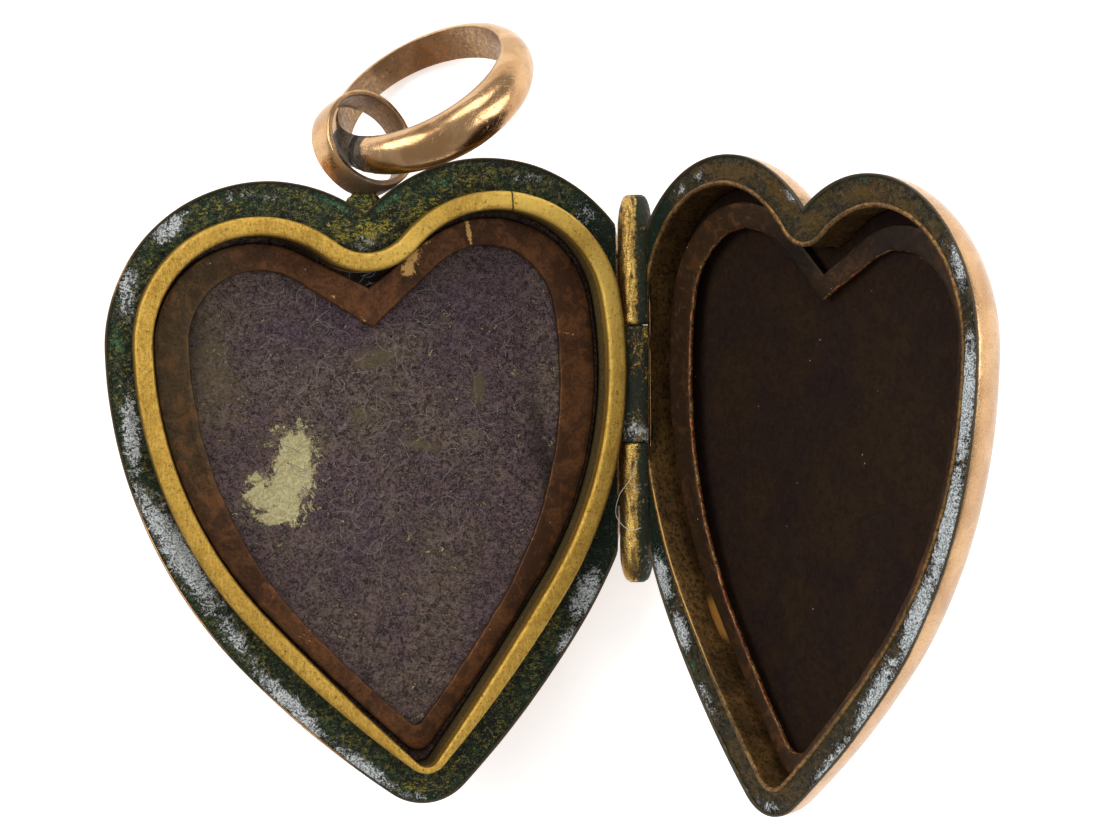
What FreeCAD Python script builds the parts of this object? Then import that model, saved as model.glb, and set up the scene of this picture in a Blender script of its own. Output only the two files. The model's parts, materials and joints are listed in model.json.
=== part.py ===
import FreeCAD, Part
import math
import os

# An antique puffed heart locket that lies open on its back like a book on its spine.
# Each half is built in its own case frame: the hinge axis is the Y axis, the rim lies in
# the XY plane and the half opens towards +Z. The back half lies on the -X side of the
# hinge and the front half on the +X side. Placements then tilt each half about the hinge.

BACK = -1
FRONT = 1

DIMENSIONS = [
    # the case's heart outline: tangent arcs from the cleft to the tip
    ("case_lobe_x", 4.43, "centre of a lobe arc, across"),
    ("case_lobe_y", 3.64, "centre of a lobe arc, along"),
    ("case_lobe_radius", 6.53, "radius of a lobe arc"),
    ("case_side_radius", 18.94, "radius of the side arc"),
    ("case_lower_radius", 38.97, "radius of the long lower arc"),
    ("case_tip_radius", 2.29, "radius of the rounded tip"),
    ("case_cleft_radius", 0.0, "the case's cleft is sharp"),
    # the well's heart outline, which is the bezel's outer face
    ("well_lobe_x", 4.82, "centre of a lobe arc, across"),
    ("well_lobe_y", 3.76, "centre of a lobe arc, along"),
    ("well_lobe_radius", 5.03, "radius of a lobe arc"),
    ("well_side_radius", 16.93, "radius of the side arc"),
    ("well_lower_radius", 50.3, "radius of the long lower arc"),
    ("well_tip_radius", 0.9, "radius of the tip"),
    ("well_cleft_radius", 1.98, "radius of the rounded cleft"),
    # the bezel's inner face, which leaves the strip thinner at the tip
    ("mouth_lobe_x", 4.82, "centre of a lobe arc, across"),
    ("mouth_lobe_y", 3.76, "centre of a lobe arc, along"),
    ("mouth_lobe_radius", 4.27, "radius of a lobe arc"),
    ("mouth_side_radius", 16.17, "radius of the side arc"),
    ("mouth_lower_radius", 130.0, "radius of the long lower arc"),
    ("mouth_tip_radius", 0.5, "radius of the tip"),
    ("mouth_cleft_radius", 2.74, "radius of the rounded cleft"),
    # the photo frames' outer edge and opening, each with a sharp notch
    ("edge_lobe_x", 4.81, "centre of a lobe arc, across"),
    ("edge_lobe_y", 3.67, "centre of a lobe arc, along"),
    ("edge_lobe_radius", 4.1, "radius of a lobe arc"),
    ("edge_side_radius", 15.9, "radius of the side arc"),
    ("edge_lower_radius", 84.0, "radius of the long lower arc"),
    ("edge_tip_radius", 0.61, "radius of the tip"),
    ("edge_notch", 5.46, "height of the notch"),
    ("gap_lobe_x", 4.61, "centre of a lobe arc, across"),
    ("gap_lobe_y", 3.8, "centre of a lobe arc, along"),
    ("gap_lobe_radius", 2.83, "radius of a lobe arc"),
    ("gap_side_radius", 17.22, "radius of the side arc"),
    ("gap_lower_radius", 52.7, "radius of the long lower arc"),
    ("gap_tip_radius", 0.24, "radius of the tip"),
    ("gap_notch", 3.85, "height of the notch"),
    # directions shared by all the outlines
    ("shoulder_angle", 4.5, "direction where lobe arc meets side arc, degrees"),
    ("flank_angle", -37.6, "direction where side arc meets lower arc, degrees"),
    # pose of the halves
    ("heart_offset", 10.14, "heart origin to hinge axis"),
    ("heart_lean", 5.8, "lean of the heart's axis away from the hinge, degrees"),
    ("back_tilt", 12.2, "tilt of the back half above the table, degrees"),
    ("front_tilt", 55.3, "tilt of the front half above the table, degrees"),
    ("rim_gap", 0.03, "each rim lies this far below the hinge plane"),
    # shells
    ("dome_depth", 3.1, "depth of a shell's dome"),
    ("dome_reach", 4.0, "inset where the dome is at full depth"),
    ("dome_stop", 82.0, "where the flat crown cuts the dome's quarter ellipse, degrees"),
    ("shell_wall", 0.3, "sheet thickness of a shell"),
    # rim plates, bezel, wells
    ("plate_inset", 0.34, "inset of a rim plate's outer edge from the case's outline"),
    ("plate_thickness", 0.3, "thickness of a rim plate"),
    ("bezel_height", 0.75, "bezel above the rim"),
    ("bezel_play", 0.1, "play of the bezel in the front half's mouth"),
    ("liner_width", 0.19, "thickness of the strip round the front well"),
    ("back_floor_top", 1.5, "depth of the back well's floor"),
    ("front_floor_top", 1.75, "depth of the front well's floor"),
    ("well_space", 0.34, "the front well stays this far inside the shell's outer face"),
    ("floor_thickness", 0.2, "thickness of a well floor"),
    ("lining_thickness", 0.2, "thickness of a felt lining"),
    ("lining_play", 0.05, "play round a lining"),
    # photo frames
    ("back_frame_thickness", 0.3, "thickness of the back photo frame"),
    ("front_frame_thickness", 0.2, "thickness of the front photo frame"),
    ("front_frame_shift", 0.2, "the front frame lies this far off the middle, away from the hinge"),
    ("front_edge_growth", 0.5, "growth of the front frame's outer edge over the back one's"),
    ("front_gap_growth", 0.6, "growth of the front frame's opening over the back one's"),
    ("front_edge_notch", 5.9, "height of the notch in the front frame's outer edge"),
    ("front_gap_notch", 4.9, "height of the notch in the front frame's opening"),
    ("front_frame_half", 9.85, "half the front frame's width, with a little play"),
    ("frame_tip", 1.65, "tip of the loose front frame, degrees"),
    # hinge
    ("barrel_radius", 0.7, "outer radius of the hinge barrel"),
    ("relief_radius", 0.78, "radius of the seat round the barrel"),
    ("pin_radius", 0.3, "radius of the hinge pin"),
    ("pin_play", 0.03, "radial play of the pin in the middle knuckle"),
    ("hinge_top", 9.07, "upper end of the barrel"),
    ("hinge_bottom", -6.53, "lower end of the barrel"),
    ("upper_split", 3.83, "split between upper and middle knuckles"),
    ("lower_split", -0.89, "split between middle and lower knuckles"),
    ("split_gap", 0.04, "gap between two knuckles"),
    ("end_taper", 1.5, "length of a barrel end's rounding"),
    ("leaf_reach", 1.6, "reach of a knuckle's leaf from the hinge axis"),
    ("leaf_root", 0.1, "a knuckle's leaf starts this far from the hinge axis"),
    ("leaf_depth", 0.5, "depth of a leaf's underside below the hinge axis"),
    ("leaf_thickness", 0.4, "thickness of a knuckle's leaf"),
    ("waist", 0.02, "flattened hinge side of a shell, beyond the hinge axis"),
    # fixed loop
    ("loop_radius", 2.1, "outer radius of the fixed loop"),
    ("loop_thickness", 0.27, "thickness of the loop's band"),
    ("loop_width", 1.3, "width of the loop's band"),
    ("loop_x", -10.89, "loop centre in the back case frame"),
    ("loop_y", 11.18, "loop centre in the back case frame"),
    ("loop_z", -0.88, "loop centre in the back case frame"),
    ("loop_lean_x", 0.5, "slope of the loop's axis, across"),
    ("loop_lean_y", 0.45, "slope of the loop's axis, along"),
    ("solder_width", 0.9, "width of the solder under the loop"),
    ("solder_depth", 0.4, "depth of the solder under the loop"),
    ("solder_spread", 26.0, "half the angle that the solder reaches round the loop, degrees"),
    ("solder_play", 0.06, "the solder keeps this far from the closed front half"),
    # bail
    ("bail_bore", 3.6, "inner radius of the bail"),
    ("bail_x", -8.28, "bail centre from the hinge axis"),
    ("bail_y", 13.02, "bail centre from the hinge axis"),
    ("bail_z", 1.29, "bail centre from the hinge axis"),
    ("bail_width", 1.65, "mean width of the bail's band"),
    ("bail_width_swing", 0.42, "widening of the band towards its heavy side"),
    ("bail_height", 0.78, "mean thickness of the bail's band"),
    ("bail_height_swing", 0.22, "thickening of the band towards its heavy side"),
    ("bail_heavy_side", 110.0, "direction of the bail's heavy side, degrees"),
    ("bail_axis_x", -0.379, "direction of the bail's axis"),
    ("bail_axis_y", 0.778, "direction of the bail's axis"),
    ("bail_axis_z", 0.501, "direction of the bail's axis"),
    ("bail_link_x", -0.814, "direction from the bail's centre to the loop"),
    ("bail_link_y", -0.538, "direction from the bail's centre to the loop"),
    ("bail_joint_angle", 16.0, "place of the soldered joint round the bail, degrees"),
    ("bail_seam", 0.35, "width of the soldered joint in the bail"),
    # where the model's own origin lies, from the hinge axis; worked out below
    ("origin_x", 0.0, "model origin"),
    ("origin_y", 0.0, "model origin"),
    ("origin_z", 0.0, "model origin"),
]

doc = FreeCAD.newDocument("locket")
sheet = doc.addObject("Spreadsheet::Sheet", "Params")
for row, (alias, value, note) in enumerate(DIMENSIONS, start=1):
    sheet.set("A%d" % row, alias)
    sheet.set("B%d" % row, str(value))
    sheet.set("C%d" % row, note)
    sheet.setAlias("B%d" % row, alias)
doc.recompute()


def size(alias):
    return float(sheet.get(alias))


def vector(x, y, z=0.0):
    return FreeCAD.Vector(x, y, z)


def arc(centre, radius, start, end):
    circle = Part.Circle(centre, vector(0, 0, 1), radius)
    return Part.ArcOfCircle(circle, start, end)


def polar(centre, radius, angle):
    return centre + vector(math.cos(angle), math.sin(angle)) * radius


def heart(family, inset=0.0, notch=None):
    """A family's heart outline moved inwards by inset, as arcs from the cleft round.
    With a notch the cleft is a sharp V at that height, with straight sides."""
    lobe = vector(size(family + "_lobe_x"), size(family + "_lobe_y"))
    lobe_radius = size(family + "_lobe_radius") - inset
    side_radius = size(family + "_side_radius") - inset
    lower_radius = size(family + "_lower_radius") - inset
    tip_radius = max(size(family + "_tip_radius") - inset, 0.05)
    shoulder = math.radians(size("shoulder_angle"))
    flank = math.radians(size("flank_angle"))
    side = polar(lobe, lobe_radius - side_radius, shoulder)
    lower = polar(side, side_radius - lower_radius, flank)
    reach = lower_radius - tip_radius
    tip = vector(0, lower.y - math.sqrt(reach ** 2 - lower.x ** 2))
    tip_angle = math.atan2(tip.y - lower.y, -lower.x)
    curves = []
    if notch is None:
        cleft_radius = max(size(family + "_cleft_radius") + inset, 0.0)
        span = lobe_radius + cleft_radius
        cleft = vector(0, lobe.y + math.sqrt(span ** 2 - lobe.x ** 2))
        crown = math.atan2(cleft.y - lobe.y, -lobe.x)
        if cleft_radius > 0:
            curves.append(arc(cleft, cleft_radius, -crown, crown - math.pi))
    else:
        vee = vector(0, notch)
        crown = math.atan2(vee.y - lobe.y, -lobe.x) - math.acos(lobe_radius / (vee - lobe).Length)
        touch = polar(lobe, lobe_radius, crown)
        curves.append(Part.LineSegment(vector(-touch.x, touch.y), vee))
        curves.append(Part.LineSegment(vee, touch))
    left = []
    stretches = [
        (lobe, lobe_radius, shoulder, crown),
        (side, side_radius, flank, shoulder),
        (lower, lower_radius, tip_angle, flank),
    ]
    for centre, radius, start, end in stretches:
        curves.append(arc(centre, radius, start, end))
        left.append(arc(vector(-centre.x, centre.y), radius, math.pi - end, math.pi - start))
    curves.append(arc(tip, tip_radius, -math.pi - tip_angle, tip_angle))
    return curves + left[::-1]


def origin_plane(body):
    for feature in body.Origin.OriginFeatures:
        if feature.Role == "XY_Plane":
            return feature
    raise RuntimeError("the body has no XY plane")


def case_body(name, side):
    """A body whose own frame is a half's case frame, tilted about the hinge."""
    body = doc.addObject("PartDesign::Body", name)
    body.Placement = FreeCAD.Placement(vector(0, 0), FreeCAD.Rotation(vector(0, 1), 30))
    tilt = "Params.back_tilt" if side == BACK else "-Params.front_tilt"
    body.setExpression("Placement.Rotation.Angle", tilt)
    for letter in "xyz":
        body.setExpression("Placement.Base.%s" % letter, "-Params.origin_%s" % letter)
    return body


def flat_sketch(body, name, curves, height="0"):
    """A sketch in the body's XY plane, raised to a height given as an expression."""
    sketch = body.newObject("Sketcher::SketchObject", name)
    sketch.AttachmentSupport = (origin_plane(body), "")
    sketch.MapMode = "FlatFace"
    sketch.addGeometry(curves, False)
    sketch.setExpression("AttachmentOffset.Base.z", height)
    return sketch


def heart_sketch(body, name, side, curves, height):
    """A sketch in the heart's own axes: offset from the hinge and leaning away from it."""
    sketch = flat_sketch(body, name, curves, height)
    turn = FreeCAD.Rotation(vector(0, 0, 1), -side * size("heart_lean"))
    sketch.AttachmentOffset = FreeCAD.Placement(vector(side * size("heart_offset"), 0), turn)
    sketch.setExpression("AttachmentOffset.Base.x", "%d * Params.heart_offset" % side)
    sketch.setExpression("AttachmentOffset.Base.z", height)
    return sketch


def pad(body, sketch, length):
    feature = body.newObject("PartDesign::Pad", sketch.Name + "_pad")
    feature.Profile = sketch
    feature.setExpression("Length", length)
    sketch.Visibility = False
    body.Tip = feature
    return feature


def turned(body, name, points):
    """A body turned about the hinge axis: points are radius, distance along the axis, and
    a triple among them stands for a rounded end."""
    curves = []
    for start, end in zip(points, points[1:] + points[:1]):
        if len(end) == 3:
            arched = Part.Arc(vector(*start[:2]), vector(*end[2]), vector(*end[:2]))
            curves.append(arched)
        else:
            curves.append(Part.LineSegment(vector(*start[:2]), vector(*end)))
    sketch = flat_sketch(body, name, curves)
    feature = body.newObject("PartDesign::Revolution", name + "_turned")
    feature.Profile = sketch
    feature.ReferenceAxis = (sketch, ["V_Axis"])
    feature.Angle = 360
    body.Tip = feature
    return feature


def cut(name, base, *tools):
    """The base with every tool taken away."""
    result = base
    for index, tool in enumerate(tools):
        last = index == len(tools) - 1
        feature = doc.addObject("Part::Cut", name if last else "%s_step_%d" % (name, index))
        feature.Base = result
        feature.Tool = tool
        feature.Refine = True
        result = feature
    return result


def fuse(name, *shapes):
    feature = doc.addObject("Part::MultiFuse", name)
    feature.Shapes = list(shapes)
    feature.Refine = True
    return feature


def common(name, first, second):
    feature = doc.addObject("Part::MultiCommon", name)
    feature.Shapes = [first, second]
    return feature


# ---- the two cases ----

PROFILE_STEPS = 7


def dome(name, side, inset):
    """A solid pillow-shaped heart below the rim: its section's inset grows with depth as
    a quarter ellipse, from the outline at the rim to a flat crown."""
    body = case_body(name, side)
    depth = size("dome_depth") - inset
    reach = size("dome_reach") - inset
    sections = []
    for step in range(PROFILE_STEPS):
        angle = math.radians(size("dome_stop")) * step / (PROFILE_STEPS - 1)
        height = -size("rim_gap") - depth * math.sin(angle)
        move = inset + reach * (1 - math.cos(angle))
        sketch = heart_sketch(body, "%s_%d" % (name, step), side, heart("case", move), str(height))
        sections.append(sketch)
    feature = body.newObject("PartDesign::AdditiveLoft", name + "_loft")
    feature.Profile = sections[0]
    feature.Sections = sections[1:]
    body.Tip = feature
    return body


# reliefs and lids only have to reach past the case by some margin
RELIEF_SPAN = 4.0
LID_OVERLAP = 0.01


def relief(name, side, waist):
    """What the hinge takes from a half: a seat round the barrel and all beyond a waist."""
    body = case_body(name, side)
    low = size("hinge_bottom") - size("split_gap")
    high = size("hinge_top") + size("split_gap")
    near = side * waist
    far = -side * RELIEF_SPAN
    left = min(near, far)
    right = max(near, far)
    block = polygon([(left, low), (right, low), (right, high), (left, high)])
    sketch = flat_sketch(body, name + "_block", block, "-Params.dome_depth - 1")
    pad(body, sketch, "Params.dome_depth + 3")
    seat = size("relief_radius")
    turned(body, name + "_seat", [(0, low), (seat, low), (seat, high), (0, high)])
    return body


def slab(name, side, curves, bottom, thickness):
    """A flat heart plate or ring of the given outlines; bottom and thickness are expressions."""
    body = case_body(name, side)
    pad(body, heart_sketch(body, name + "_outline", side, curves, bottom), thickness)
    return body


def shell(label, side, reliefs):
    outer = cut(label + "_solid", dome(label + "_outer", side, 0.0), reliefs[0])
    inner = cut(label + "_hollow", dome(label + "_inner", side, size("shell_wall")), reliefs[1])
    bottom = "-Params.rim_gap - %g" % LID_OVERLAP
    lid = slab(label + "_mouth", side, heart("case", size("shell_wall")), bottom, "1")
    mouth = cut(label + "_mouth_cut", lid, reliefs[1])
    return outer, cut(label, outer, inner, mouth)


# the middle of a barrel end's rounding, as shares of the wall and of the rounding's length
ROUND_OUT = 0.72
ROUND_ALONG = 0.35


def knuckle(label, side, start, end, low_round, high_round, bore, leaf, case_solid):
    """One length of the hinge barrel with the leaf that joins it to its own half."""
    body = case_body(label + "_barrel", side)
    radius = size("barrel_radius")
    taper = size("end_taper")
    shrunk = bore + ROUND_OUT * (radius - bore)
    along = ROUND_ALONG * taper
    points = [(bore, start), (radius, start), (radius, end), (bore, end)]
    if low_round:
        points = [(bore, start), (radius, start + taper, (shrunk, start + along))] + points[2:]
    if high_round:
        points = points[:2] + [(radius, end - taper), (bore, end, (shrunk, end - along))]
    turned(body, label + "_profile", points)
    plate = case_body(label + "_leaf", side)
    low = start + (taper if low_round else 0.0)
    high = end - (taper if high_round else 0.0)
    near, far = sorted((side * size("leaf_root"), side * leaf))
    outline = polygon([(near, low), (far, low), (far, high), (near, high)])
    pad(plate, flat_sketch(plate, label + "_leaf_outline", outline, "-Params.leaf_depth"), "Params.leaf_thickness")
    bored = case_body(label + "_bore", side)
    turned(bored, label + "_bore_profile", [(0, start), (bore, start), (bore, end), (0, end)])
    leaf_cut = cut(label + "_leaf_cut", plate, case_solid, bored)
    return fuse(label, body, leaf_cut)


def barrel_seat(name, side):
    """The space round the barrel that every neighbour of the hinge keeps clear of."""
    body = case_body(name, side)
    seat = size("relief_radius")
    low = size("hinge_bottom") - size("split_gap")
    high = size("hinge_top") + size("split_gap")
    turned(body, name + "_profile", [(0, low), (seat, low), (seat, high), (0, high)])
    return body


def hinge_reliefs(word, side):
    waist = size("waist")
    wall = size("shell_wall")
    return [relief(word + "_relief", side, waist), relief(word + "_relief_inner", side, waist + wall)]


def build_back():
    """The back half: shell, ledge, raised bezel and what lies in the well."""
    reliefs = hinge_reliefs("back", BACK)
    solid, case = shell("back_shell", BACK, reliefs)
    seat = barrel_seat("back_seat", BACK)
    plate = slab("back_rim_blank", BACK, heart("case", size("plate_inset")) + heart("well"),
                 "-Params.rim_gap - Params.plate_thickness", "Params.plate_thickness")
    strip = slab("snap_bezel_blank", BACK, heart("well") + heart("mouth"),
                 "-Params.back_floor_top", "Params.back_floor_top + Params.bezel_height")
    floor = slab("back_well_floor", BACK, heart("well"),
                 "-Params.back_floor_top - Params.floor_thickness", "Params.floor_thickness")
    lining = slab("back_lining", BACK, heart("mouth", size("lining_play")),
                  "-Params.back_floor_top", "Params.lining_thickness")
    frame = slab("back_photo_frame", BACK,
                 heart("edge", 0.0, size("edge_notch")) + heart("gap", 0.0, size("gap_notch")),
                 "-Params.back_floor_top + Params.lining_thickness", "Params.back_frame_thickness")
    ledge = cut("back_rim_plate", plate, reliefs[1])
    return solid, [case, ledge, cut("snap_bezel", strip, seat), floor, lining, frame]


def build_front():
    """The front half: shell, ledge, the strip round the well and what lies in it."""
    reliefs = hinge_reliefs("front", FRONT)
    solid, case = shell("front_shell", FRONT, reliefs)
    mouth = -size("bezel_play")
    liner = mouth - size("liner_width")
    depth = "-Params.front_floor_top - Params.floor_thickness"
    plate = slab("front_rim_blank", FRONT, heart("case", size("plate_inset")) + heart("well", liner),
                 "-Params.rim_gap - Params.plate_thickness", "Params.plate_thickness")
    strip = slab("front_well_blank", FRONT, heart("well", liner) + heart("well", mouth),
                 depth, "Params.front_floor_top + Params.floor_thickness - Params.rim_gap")
    floor = slab("front_floor_blank", FRONT, heart("well", mouth), depth, "Params.floor_thickness")
    lining = slab("front_lining_blank", FRONT, heart("well", mouth + size("lining_play")),
                  "-Params.front_floor_top", "Params.lining_thickness")
    space = cut("front_space", dome("front_space_blank", FRONT, size("well_space")), reliefs[1])
    inside = [
        common("front_well_wall", strip, space),
        common("front_well_floor", floor, space),
        common("front_lining", lining, space),
    ]
    return solid, [case, cut("front_rim_plate", plate, reliefs[1])] + inside + [build_tipped_frame()]


def build_tipped_frame():
    """The front photo frame lies loose, its hinge side raised."""
    body = case_body("front_photo_frame", FRONT)
    curves = heart("edge", -size("front_edge_growth"), size("front_edge_notch"))
    curves += heart("gap", -size("front_gap_growth"), size("front_gap_notch"))
    height = "-Params.front_floor_top + Params.lining_thickness"
    height += " + Params.front_frame_half * sin(Params.frame_tip * 1 deg)"
    sketch = heart_sketch(body, "front_photo_frame_outline", FRONT, curves, height)
    sketch.setExpression("AttachmentOffset.Base.x", None)
    place = sketch.AttachmentOffset
    tipped = FreeCAD.Rotation(vector(0, 1, 0), size("frame_tip")).multiply(place.Rotation)
    sketch.AttachmentOffset = FreeCAD.Placement(place.Base, tipped)
    sketch.setExpression("AttachmentOffset.Base.x", "Params.heart_offset + Params.front_frame_shift")
    pad(body, sketch, "Params.front_frame_thickness")
    return body


def build_hinge(back_solid, front_solid):
    """Three knuckles of one barrel and the pin through them."""
    gap = size("split_gap") / 2
    tight = size("pin_radius")
    free = tight + size("pin_play")
    top = size("hinge_top")
    bottom = size("hinge_bottom")
    upper_split = size("upper_split")
    lower_split = size("lower_split")
    leaf = size("leaf_reach")
    middle = knuckle("middle_knuckle", BACK, lower_split + gap, upper_split - gap,
                     False, False, free, leaf, back_solid)
    upper = knuckle("upper_knuckle", FRONT, upper_split + gap, top, False, True, tight, leaf, front_solid)
    lower = knuckle("lower_knuckle", FRONT, bottom, lower_split - gap, True, False, tight, leaf, front_solid)
    pin = case_body("hinge_pin", FRONT)
    turned(pin, "hinge_pin_profile", [(0, bottom), (tight, bottom), (tight, top), (0, top)])
    return [middle, upper, lower, pin]


def circle(radius):
    return Part.Circle(vector(0, 0), vector(0, 0, 1), radius)


def build_loop(back_solid):
    """The flat band ring in the cleft, its axis tipped, and the solder that holds it."""
    band = case_body("fixed_loop", BACK)
    outer = size("loop_radius")
    sketch = flat_sketch(band, "fixed_loop_outline", [circle(outer), circle(outer - size("loop_thickness"))])
    turn = FreeCAD.Rotation(vector(0, 0, 1), vector(size("loop_lean_x"), size("loop_lean_y"), 1))
    sketch.setExpression("AttachmentOffset.Base.z", None)
    sketch.AttachmentOffset = FreeCAD.Placement(vector(size("loop_x"), size("loop_y"), size("loop_z")), turn)
    for letter in "xyz":
        sketch.setExpression("AttachmentOffset.Base.%s" % letter, "Params.loop_%s" % letter)
    pad(band, sketch, "Params.loop_width").Midplane = True
    filler = case_body("loop_solder_blank", BACK)
    spread = math.radians(size("solder_spread"))
    start = -math.pi / 2 - spread
    end = -math.pi / 2 + spread
    near = outer - size("loop_thickness")
    far = outer + size("solder_depth")
    centre = vector(0, 0)
    outline = [
        arc(centre, near, start, end),
        Part.LineSegment(polar(centre, near, end), polar(centre, far, end)),
        arc(centre, far, start, end),
        Part.LineSegment(polar(centre, far, start), polar(centre, near, start)),
    ]
    plug = flat_sketch(filler, "loop_solder_outline", outline)
    plug.setExpression("AttachmentOffset.Base.z", None)
    plug.AttachmentOffset = sketch.AttachmentOffset
    pad(filler, plug, "Params.solder_width").Midplane = True
    lid = slab("loop_solder_limit", BACK, heart("case", -size("solder_play")), "-Params.rim_gap", "4")
    return band, cut("loop_solder_low", filler, lid)


def bail_section(body, name, azimuth):
    """One half-round section of the bail, flat towards the bore and wider than it is thick."""
    heavy = math.radians(azimuth - size("bail_heavy_side"))
    half = (size("bail_width") + size("bail_width_swing") * math.cos(heavy)) / 2
    proud = size("bail_height") + size("bail_height_swing") * math.cos(heavy)
    bore = size("bail_bore")
    low = vector(bore, -half)
    high = vector(bore, half)
    bulge = Part.Ellipse(high, vector(bore + proud, 0), vector(bore, 0))
    crown = Part.ArcOfEllipse(bulge, 0, math.pi)
    sketch = body.newObject("Sketcher::SketchObject", name)
    sketch.AttachmentSupport = (origin_plane(body), "")
    sketch.MapMode = "FlatFace"
    sketch.addGeometry([Part.LineSegment(low, high), crown], False)
    upright = FreeCAD.Rotation(vector(1, 0, 0), 90)
    spin = FreeCAD.Rotation(vector(0, 0, 1), azimuth)
    sketch.AttachmentOffset = FreeCAD.Placement(vector(0, 0), spin.multiply(upright))
    return sketch


BAIL_SECTIONS = 12


def build_bail():
    """A tapered half-round ring, closed by a soldered joint near its light side."""
    ring = placed_bail("bail_blank")
    sections = []
    for index in range(BAIL_SECTIONS):
        azimuth = 360.0 * index / BAIL_SECTIONS
        sections.append(bail_section(ring, "bail_section_%d" % index, azimuth))
    loft = ring.newObject("PartDesign::AdditiveLoft", "bail_loft")
    loft.Profile = sections[0]
    loft.Sections = sections[1:]
    loft.Closed = True
    ring.Tip = loft
    joint = placed_bail("bail_joint")
    half = size("bail_seam") / 2
    near = size("bail_bore") - size("bail_seam")
    far = size("bail_bore") + 2 * size("bail_height")
    corners = [(near, -half), (far, -half), (far, half), (near, half)]
    outline = flat_sketch(joint, "bail_joint_outline", polygon(corners))
    outline.setExpression("AttachmentOffset.Base.z", None)
    outline.AttachmentOffset = FreeCAD.Placement(
        vector(0, 0), FreeCAD.Rotation(vector(0, 0, 1), size("bail_joint_angle")))
    pad(joint, outline, "2 * Params.bail_width").Midplane = True
    return [cut("bail_ring", ring, joint), common("bail_solder", ring, joint)]


def placed_bail(name):
    """A body in the bail's own frame: its axis is Z, and X points at the fixed loop."""
    body = doc.addObject("PartDesign::Body", name)
    axis = vector(size("bail_axis_x"), size("bail_axis_y"), size("bail_axis_z")).normalize()
    link = vector(size("bail_link_x"), size("bail_link_y"), 0)
    link.z = -(axis.x * link.x + axis.y * link.y) / axis.z
    turn = FreeCAD.Rotation(link.normalize(), axis.cross(link), axis, "ZXY")
    body.Placement = FreeCAD.Placement(vector(0, 0), turn)
    for letter in "xyz":
        body.setExpression("Placement.Base.%s" % letter, "Params.bail_%s - Params.origin_%s" % (letter, letter))
    return body


def polygon(corners):
    edges = []
    for start, end in zip(corners, corners[1:] + corners[:1]):
        edges.append(Part.LineSegment(vector(*start), vector(*end)))
    return edges


def extent(shapes):
    """The exact box of several shapes, as a list of lows and a list of highs."""
    boxes = [shape.optimalBoundingBox(False, False) for shape in shapes]
    low = [min(getattr(box, name) for box in boxes) for name in ("XMin", "YMin", "ZMin")]
    high = [max(getattr(box, name) for box in boxes) for name in ("XMax", "YMax", "ZMax")]
    return low, high


def set_origin(parts):
    """Move the model's origin under the middle of everything, at the lowest point."""
    low, high = extent([part.Shape for part in parts])
    sheet.set(sheet.getCellFromAlias("origin_x"), str((low[0] + high[0]) / 2))
    sheet.set(sheet.getCellFromAlias("origin_y"), str((low[1] + high[1]) / 2))
    sheet.set(sheet.getCellFromAlias("origin_z"), str(low[2]))
    doc.recompute()


def check_and_write(parts):
    for item in doc.Objects:
        if "Invalid" in item.State or "Error" in item.State:
            raise RuntimeError("%s failed: %s" % (item.Name, item.State))
    os.makedirs("parts", exist_ok=True)
    for part in parts:
        if part.Shape.isNull() or not part.Shape.isValid():
            raise RuntimeError("%s has no valid shape" % part.Label)
        part.Shape.exportStep("parts/%s.step" % part.Label)
        print(part.Label, len(part.Shape.Solids), "solid", round(part.Shape.Volume, 3), "mm3")


back_solid, back_parts = build_back()
front_solid, front_parts = build_front()
hinge_parts = build_hinge(back_solid, front_solid)
loop, filler = build_loop(back_solid)
loop_solder = cut("loop_solder", filler, loop, back_solid)
bail_parts = build_bail()
all_parts = back_parts + front_parts + hinge_parts + [loop, loop_solder] + bail_parts
doc.recompute()
set_origin(all_parts)
check_and_write(all_parts)
print("origin from the hinge axis", [round(size("origin_" + letter), 4) for letter in "xyz"])
print("box", extent([part.Shape for part in all_parts]))
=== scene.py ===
import json
import math

import bpy
import numpy as np
from mathutils import Matrix, Vector, noise


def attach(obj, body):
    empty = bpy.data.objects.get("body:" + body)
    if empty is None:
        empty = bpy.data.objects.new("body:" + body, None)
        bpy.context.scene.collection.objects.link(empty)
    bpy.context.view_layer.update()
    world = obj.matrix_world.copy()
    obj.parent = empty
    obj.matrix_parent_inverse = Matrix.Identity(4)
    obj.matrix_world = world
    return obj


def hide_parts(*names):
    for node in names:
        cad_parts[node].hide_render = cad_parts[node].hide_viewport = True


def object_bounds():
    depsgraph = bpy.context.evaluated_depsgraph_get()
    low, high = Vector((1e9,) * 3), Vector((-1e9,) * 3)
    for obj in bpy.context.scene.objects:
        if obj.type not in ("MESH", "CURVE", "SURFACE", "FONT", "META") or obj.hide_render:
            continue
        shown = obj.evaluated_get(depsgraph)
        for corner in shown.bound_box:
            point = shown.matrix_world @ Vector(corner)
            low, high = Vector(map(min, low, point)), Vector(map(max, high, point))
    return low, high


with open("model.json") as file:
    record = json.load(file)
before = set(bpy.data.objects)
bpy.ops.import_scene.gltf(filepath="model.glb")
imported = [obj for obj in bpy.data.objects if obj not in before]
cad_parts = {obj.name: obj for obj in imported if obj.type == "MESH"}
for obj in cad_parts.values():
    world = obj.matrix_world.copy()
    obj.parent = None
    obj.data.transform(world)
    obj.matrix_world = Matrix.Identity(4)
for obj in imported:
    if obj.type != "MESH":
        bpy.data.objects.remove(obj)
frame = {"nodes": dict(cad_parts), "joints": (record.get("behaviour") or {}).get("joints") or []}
cad_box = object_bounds()

# An antique heart locket lying open. The two halves are built in their own case frames, in
# millimetres: the hinge axis is Y, the rim plane is XY and the half opens towards +Z. The back
# half lies at -X of the hinge (side BACK) and the front half at +X (side FRONT).

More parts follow.
